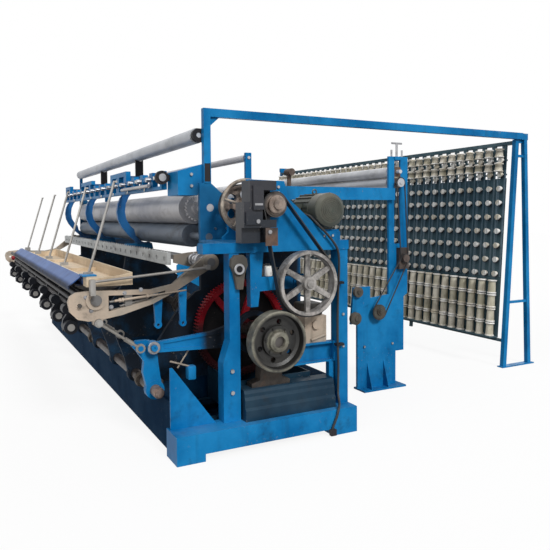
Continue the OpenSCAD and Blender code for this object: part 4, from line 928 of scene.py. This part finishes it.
@dataclass(frozen=True)
class Extent:
    """The box of one node of the frame."""

    low: Vector
    high: Vector

    @classmethod
    def of(cls, node: str) -> "Extent":
        """Reads a node's box from the frame.

        Args:
            node: the node's name.

        Returns:
            Its box.
        """
        low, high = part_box(node)
        return cls(Vector(low), Vector(high))

    @property
    def middle(self) -> Vector:
        """The middle of the box."""
        return (self.low + self.high) / 2


class Look(Dict[Slot, Material]):
    """The finish of every slot, and of the nodes and pieces that have their own."""

    def __init__(self) -> None:
        """Builds the finishes of all slots and those of small pieces."""
        super().__init__((slot, finish.material()) for slot, finish in SLOT_FINISH.items())
        self.white = Moulded("white porcelain", (0.8, 0.8, 0.78), 0.25).material()
        self.pale = Moulded("pale rim plastic", (0.92, 0.9, 0.86), 0.38, 0.25).material()
        self.faded = Enamel("faded strip enamel", (0.15, 0.23, 0.29), 0.6, 0.8, 0.4, 0.5).material()

    def dress(self, frame: Inputs) -> None:
        """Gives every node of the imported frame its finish.

        Args:
            frame: the loaded frame.
        """
        slots = {part["node"]: part["material_slot"] for part in frame["record"]["subparts"]}
        for name, node in frame["nodes"].items():
            own = NODE_FINISH.get(name)
            finish = own.material() if own else self[Slot(slots[name])]
            node.data.materials.clear()
            node.data.materials.append(finish)
        LOG.info("dressed %d nodes", len(frame["nodes"]))


# --- sub-assemblies


@dataclass
class Assembly:
    """A sub-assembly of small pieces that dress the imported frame."""

    look: Look

    def add(self, shape: Shape, name: str, slot: Slot, body: str = "frame",
            own: Optional[Material] = None) -> bpy.types.Object:
        """Finishes a shape as one piece.

        Args:
            shape: the shape.
            name: the piece's name.
            slot: the record's slot.
            body: the body that it rides on.
            own: its own finish, or None for the slot's.

        Returns:
            The object.
        """
        return shape.finish(name, body, own or self.look[slot], slot)

    def build(self) -> None:
        """Makes the pieces."""
        raise NotImplementedError


@dataclass
class MotorCowl(Assembly):
    """Fan grille, hoops, cover screws and lifting eye of the drive motor."""

    rings: Tuple[float, ...] = (0.026, 0.04, 0.054, 0.068, 0.082)
    wire: float = 0.0021
    bars: int = 8
    sink: float = 0.002
    flat_radius: float = 0.06
    slope: float = 0.11
    hoops: Pair = (0.142, 0.027)
    hoop_radius: float = 0.1215
    screws: int = 6
    screw_back: float = 0.03
    screw_circle: float = 0.122
    eye_back: float = 0.24
    eye_up: float = 0.139

    def build(self) -> None:
        """Makes the grille on the fan cover and the small fittings."""
        end = Extent.of("motor_body").high.x
        axle = Extent.of("motor_shaft").middle
        grille = Shape()
        for radius in self.rings:
            drop = self.sink + max(0.0, radius - self.flat_radius) * self.slope
            grille.ring((end - drop, axle.y, axle.z), radius, self.wire)
        centre = Vector((end - self.sink, axle.y, axle.z))
        for i in range(self.bars):
            turn = math.tau * i / self.bars
            out = Vector((0.0, math.cos(turn), math.sin(turn)))
            grille.rod(centre + out * 0.02, centre + out * 0.09 - Vector((0.0035, 0, 0)), 0.002, 6)
        self.add(grille, "motor_fan_grille", Slot.DARK_IRON)
        trim = Shape()
        for back in self.hoops:
            trim.ring((end - back, axle.y, axle.z), self.hoop_radius, 0.0035, steps=48)
        for i in range(self.screws):
            turn = math.tau * (i + 0.5) / self.screws
            out = (0.0, math.cos(turn), math.sin(turn))
            spot = (end - self.screw_back, axle.y + self.screw_circle * out[1],
                    axle.z + self.screw_circle * out[2])
            trim.hexagon(spot, 0.006, 0.006, out)
        eye = Vector((end - self.eye_back, axle.y, axle.z + self.eye_up))
        trim.ring(eye, 0.017, 0.0055)
        trim.rod(eye - Vector((0.0, 0.0, 0.027)), eye - Vector((0.0, 0.0, 0.013)), 0.009)
        self.add(trim, "motor_cowl_trim", Slot.MOTOR)


@dataclass
class BeamEyelets(Assembly):
    """White thread eyelets and small clamp screws along the lattice beam."""

    pitch: float = 0.298
    first: float = 0.19
    margin: float = 0.3
    radius: float = 0.011
    low_row: float = 0.016
    high_row: float = 0.1

    def build(self) -> None:
        """Makes the eyelets and screws on the tray side of the beam."""
        beam = Extent.of("lattice_beam")
        eyelets, screws = Shape(), Shape()
        for i in range(int((beam.high.x - beam.low.x - self.margin) / self.pitch)):
            x = beam.high.x - self.first - i * self.pitch
            z = beam.low.z + (self.low_row if i % 2 else self.high_row)
            eyelets.ring((x, beam.low.y - 0.006, z), self.radius, 0.0045, Y_AXIS, 16, 6)
            foot = (x + 0.05, beam.low.y, beam.low.z + self.high_row)
            screws.hexagon(foot, 0.009, 0.012, TO_TRAY)
        self.add(eyelets, "beam_eyelets", Slot.CUP, own=self.look.white)
        self.add(screws, "beam_screws", Slot.STEEL)


@dataclass
class PinRings(Assembly):
    """Worn steel rings and black grease in the open pins of the linkage."""

    rod_radii: Pair = (0.024, 0.044)
    rod_inset: float = 0.046
    rod_rise: float = 0.306
    column_radii: Pair = (0.023, 0.038)
    column_pin: Point = (2.9585, -1.355, 1.24)

    def build(self) -> None:
        """Makes the rings on the connecting rod and the column bearing."""
        rod = Extent.of("connecting_rod")
        rod_pin = (rod.high.x, rod.low.y + self.rod_inset,
                   Extent.of("rock_shaft").middle.z + self.rod_rise)
        for name, body, pin, (inner, outer) in (
                ("rod_eye", "con_rod", rod_pin, self.rod_radii),
                ("column_eye", "frame", self.column_pin, self.column_radii)):
            ring, grease = Shape(), Shape()
            ring.turned(pin, [(-0.002, inner), (0.006, inner), (0.007, outer - 0.002),
                              (0.005, outer), (-0.002, outer)])
            grease.turned(pin, [(-0.002, inner), (0.002, inner), (0.001, 0.0)])
            self.add(ring, name + "_ring", Slot.STEEL, body)
            self.add(grease, name + "_grease", Slot.BLACK, body)


@dataclass
class SwingCollars(Assembly):
    """Set collars on the swing shaft by the drive end: place, width, radius."""

    sizes: Tuple[Point, ...] = (
        (0.055, 0.03, 0.046), (0.12, 0.018, 0.04), (0.19, 0.034, 0.052), (0.235, 0.012, 0.057),
        (0.3, 0.028, 0.045))
    shaft_radius: float = 0.03
    bore: float = 0.0305
    edge: float = 0.003

    def build(self) -> None:
        """Makes the collars between the side frame and the near arm."""
        end = Extent.of("inner_frame").high.x
        axis = Extent.of("carriage_shafts").high
        centre = Vector((end, axis.y - self.shaft_radius, axis.z - self.shaft_radius))
        collars = Shape()
        for place, width, radius in self.sizes:
            foot = centre + Vector((place, 0.0, 0.0))
            side = radius - self.edge
            collars.turned(foot, [(0.0, self.bore), (0.0, side), (self.edge, radius),
                                  (width - self.edge, radius), (width, side), (width, self.bore)])
            collars.hexagon(foot + Vector((width / 2, 0.0, radius - 0.002)), 0.006, 0.008, Z_AXIS)
        self.add(collars, "swing_collars", Slot.STEEL, "carriage")


@dataclass
class OilCup(Assembly):
    """White oil cup on the middle leg."""

    centre: Point = (2.8665, -1.091, 1.172)
    height: float = 0.062
    bore: float = 0.0255
    radius: float = 0.0305

    def build(self) -> None:
        """Makes the cup's jar and its ivory cap."""
        jar, cap = Shape(), Shape()
        top = self.height
        wall = [(0.002, self.bore), (0.002, 0.029), (0.008, self.radius),
                (top - 0.006, self.radius), (top, 0.0285), (top, self.bore)]
        jar.turned(self.centre, wall, Z_AXIS)
        dome = [(top, 0.0), (top, 0.027), (top + 0.008, 0.026), (top + 0.011, 0.022),
                (top + 0.011, 0.0)]
        cap.turned(self.centre, dome, Z_AXIS, 24)
        self.add(jar, "oil_cup_jar", Slot.CUP, own=self.look.white)
        self.add(cap, "oil_cup_cap", Slot.CUP)


@dataclass
class Creel(Assembly):
    """Twine spools, cup collars, brackets and threads on the leaning creel."""

    lean: float = math.radians(3.82)
    foot: float = 1.971
    pitch: float = 0.14
    cup_radius: float = 0.02
    row_pitch: float = 0.15
    rows: int = 9
    first_row: float = 0.969
    stack_foot: float = 0.312
    stack_out: float = 0.058
    spool_height: float = 0.15
    spools: int = 4
    spare_height: float = 0.1
    spare_rise: float = 0.028
    spool_radius: float = 0.036
    rim_radius: float = 0.047
    strip_sides: Tuple[float, ...] = (-0.052, -0.04, 0.04, 0.052)
    thread_sides: Tuple[float, ...] = (-0.013, 0.013)

    def _place(self, x: float, out: float, up: float) -> Vector:
        """A point on the leaning panel.

        Args:
            x: place along the machine.
            out: distance in front of the panel.
            up: height along the panel.

        Returns:
            The point.
        """
        depth = -out * math.cos(self.lean) + up * math.sin(self.lean)
        height = out * math.sin(self.lean) + up * math.cos(self.lean)
        return Vector((x, self.foot + depth, height))

    def _spool(self, body: Shape, rims: Shape, foot: Vector, height: float) -> None:
        """Makes one spool: a wound body between two rims.

        Args:
            body: shape that the wound twine goes to.
            rims: shape that the rims go to.
            foot: middle of the spool's foot.
            height: height of the spool.
        """
        up = (0.0, math.sin(self.lean), math.cos(self.lean))
        r, rim = self.spool_radius, self.rim_radius
        wound = [(0.01, 0.02), (0.01, r + 0.002), (0.03, r + 0.003), (height - 0.04, r),
                 (height - 0.018, r - 0.003), (height - 0.018, 0.02)]
        body.turned(foot, wound, up, 14)
        for low, high in ((0.0, 0.014), (height - 0.023, height - 0.009)):
            rims.turned(foot, [(low, 0.015), (low, rim - 0.002), (low + 0.002, rim),
                               (high - 0.002, rim), (high, rim - 0.003), (high, 0.015)], up, 14)

    def build(self) -> None:
        """Makes one column of the creel and repeats it along the panel."""
        cups = Extent.of("guide_cups")
        x = cups.high.x - self.cup_radius
        count = round((x - cups.low.x - self.cup_radius) / self.pitch) + 1
        pale, faded = self.look.pale, self.look.faded
        plan = (("spool_twine", Slot.TWINE, None), ("spool_rims", Slot.CUP, pale),
                ("spare_spool_twine", Slot.TWINE, None), ("spare_spool_rims", Slot.CUP, pale),
                ("cup_collars", Slot.CUP, pale), ("creel_strips", Slot.NAVY, faded),
                ("cup_brackets", Slot.BLACK, None), ("creel_threads", Slot.TWINE, faded))
        for shape, (name, slot, own) in zip(self._spools(x) + self._guides(x), plan):
            shape.repeat(count, (-self.pitch, 0.0, 0.0))
            self.add(shape, name, slot, own=own)
        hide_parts("spool_stacks")

    def _spools(self, x: float) -> Tuple[Shape, ...]:
        """Makes the spools of one column, two rows of spare ones included.

        Args:
            x: place of the column.

        Returns:
            Twine and rims of the stack, then of the spare spools.
        """
        body, rims, spare, spare_rims = Shape(), Shape(), Shape(), Shape()
        for k in range(self.spools):
            up = self.stack_foot + k * self.spool_height
            self._spool(body, rims, self._place(x, self.stack_out, up), self.spool_height)
        for j in (self.rows - 2, self.rows - 1):
            up = self.first_row + j * self.row_pitch + self.spare_rise
            self._spool(spare, spare_rims, self._place(x, self.stack_out, up), self.spare_height)
        return body, rims, spare, spare_rims

    def _guides(self, x: float) -> Tuple[Shape, ...]:
        """Makes what guides the twine of one column.

        Args:
            x: place of the column.

        Returns:
            Cup collars, strips, brackets and threads.
        """
        collars, strips, brackets, threads = Shape(), Shape(), Shape(), Shape()
        outward = (0.0, -math.cos(self.lean), math.sin(self.lean))
        top = self.first_row + (self.rows - 1) * self.row_pitch
        sleeve = self.cup_radius + 0.005
        collar = [(0.008, 0.02), (0.008, sleeve), (0.034, sleeve + 0.001), (0.036, sleeve + 0.005),
                  (0.046, sleeve + 0.005), (0.048, sleeve), (0.0438, 0.009), (0.0436, 0.0)]
        knees = ((-0.034, 0.02, 0.004), (-0.016, 0.03, 0.034), (0.016, 0.03, 0.034),
                 (0.034, 0.02, 0.004))
        for j in range(self.rows):
            up = self.first_row + j * self.row_pitch
            collars.turned(self._place(x, 0.0, up), collar, outward, 12)
            bends = [self._place(x + side, out, up - drop) for side, out, drop in knees]
            for start, end in zip(bends, bends[1:]):
                brackets.rod(start, end, 0.0055, 5)
        for side in self.strip_sides:
            strips.rod(self._place(x + side, 0.009, self.first_row - 0.03),
                       self._place(x + side, 0.009, top - 0.1), 0.0028, 4)
        for side in self.thread_sides:
            threads.rod(self._place(x + side, 0.05, self.stack_foot + 0.6),
                        self._place(x + side, 0.05, top + 0.1), 0.0014, 4)
        return collars, strips, brackets, threads


@dataclass
class ArmTrim(Assembly):
    """Grease, nuts and an adjusting rod on the outside of the near arm."""

    hub: Pair = (-2.246, 1.054)
    hub_radius: float = 0.058
    nuts: Tuple[Pair, ...] = (
        (-0.062, 0.022), (-0.03, -0.066), (0.1, -0.052), (0.19, 0.036), (0.3, 0.052))
    rod_run: Tuple[Pair, ...] = ((0.12, -0.012), (0.42, 0.012), (0.62, 0.03))
    lock_nuts: Tuple[float, ...] = (0.1, 0.16, 0.72)

    def build(self) -> None:
        """Makes the grease ring, the nuts and the adjusting rod."""
        face = Extent.of("end_arms").high.x
        grease, nuts, rod = Shape(), Shape(), Shape()
        y, z = self.hub
        smear = [(0.0, 0.038), (0.002, 0.039), (0.002, self.hub_radius - 0.004),
                 (0.0, self.hub_radius)]
        grease.turned((face - 0.0035, y, z), smear)
        self.add(grease, "arm_hub_grease", Slot.BLACK, "carriage")
        for along, up in self.nuts:
            nuts.hexagon((face - 0.013, y + along, z + up), 0.011, 0.012)
        self.add(nuts, "arm_nuts", Slot.STEEL, "carriage")
        foot, knee, tip = [Vector((face - 0.006, y + a, z + b)) for a, b in self.rod_run]
        rod.rod(foot, knee, 0.0085)
        rod.rod(knee, tip, 0.006)
        nut = [(0.0, 0.0), (0.0, 0.015), (0.014, 0.015), (0.014, 0.0)]
        for share in self.lock_nuts:
            rod.turned(foot.lerp(knee, share), nut, tuple(knee - foot), 6)
        self.add(rod, "arm_adjusting_rod", Slot.CREAM, "carriage")


@dataclass
class TrayTrim(Assembly):
    """Light blue clip of the net tray and red knob under the shield."""

    def build(self) -> None:
        """Makes the clip at the near corner and the knob at the far end."""
        tray, rail = Extent.of("net_tray"), Extent.of("front_rail")
        clip, knob = Shape(), Shape()
        clip.block((tray.high.x - 0.16, tray.low.y - 0.02, tray.low.z + 0.066),
                   (tray.high.x - 0.02, tray.low.y + 0.07, tray.low.z + 0.076), 0.002)
        self.add(clip, "tray_clip", Slot.BLUE, "carriage")
        knob.turned((rail.low.x + 0.12, rail.low.y - 0.004, rail.low.z - 0.028),
                    [(0.0, 0.0), (0.0, 0.022), (0.02, 0.026), (0.036, 0.02), (0.04, 0.0)],
                    TO_TRAY, 20)
        self.add(knob, "rail_knob", Slot.RED, "carriage")


@dataclass
class CarriageTubes(Assembly):
    """Long black tubes under the shield: depth, height and radius of each."""

    tubes: Tuple[Point, ...] = (
        (-2.335, 1.085, 0.02), (-2.318, 1.012, 0.016), (-2.298, 0.945, 0.018))

    def build(self) -> None:
        """Makes the tubes from the far levers to the near end of the shield."""
        far = Extent.of("drop_arms").low.x - 0.02
        near = Extent.of("front_rail").high.x - 0.05
        row = Shape()
        for y, z, radius in self.tubes:
            row.rod((far, y, z), (near, y, z), radius, 16)
        self.add(row, "carriage_tubes", Slot.BLACK, "carriage")


@dataclass
class BayFittings(Assembly):
    """Small fittings in the drive bay: a tank, a drain valve and two stays."""

    tank_low: Point = (2.66, -0.775, 0.853)
    tank_high: Point = (2.83, -0.615, 0.945)
    cap_foot: Point = (2.74, -0.7, 0.944)
    valve_x: Pair = (2.54, 2.61)

    def build(self) -> None:
        """Makes the tank over the pump, the valve on the pan and the stays."""
        pan = Extent.of("oil_pan")
        low, high = pan.low, pan.high
        tank, valve, stays = Shape(), Shape(), Shape()
        tank.block(self.tank_low, self.tank_high, 0.012)
        tank.turned(self.cap_foot, [(0.0, 0.0), (0.0, 0.026), (0.012, 0.026), (0.012, 0.0)],
                    Z_AXIS, 20)
        self.add(tank, "pump_tank", Slot.DARK_IRON)
        valve.block((self.valve_x[0], low.y, high.z),
                    (self.valve_x[1], low.y + 0.06, high.z + 0.1), 0.01)
        self.add(valve, "drain_valve", Slot.BLUE)
        foot = Vector((sum(self.valve_x) / 2, low.y + 0.03, high.z + 0.09))
        stays.rod(foot, foot + Vector((0.02, -0.16, 0.06)), 0.007)
        stays.rod(foot + Vector((0.0, -0.1, 0.0)), foot + Vector((0.02, -0.02, 0.13)), 0.006)
        self.add(stays, "valve_stays", Slot.CREAM)


def main() -> None:
    """Builds the machine's looks in order."""
    logging.basicConfig(level=logging.INFO, format="%(name)s: %(message)s")
    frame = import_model()
    Studio().build()
    look = Look()
    look.dress(frame)
    for assembly in (MotorCowl, BeamEyelets, PinRings, SwingCollars, OilCup, ArmTrim, TrayTrim,
                     CarriageTubes, BayFittings, Creel):
        assembly(look).build()


if __name__ == "__main__":
    main()
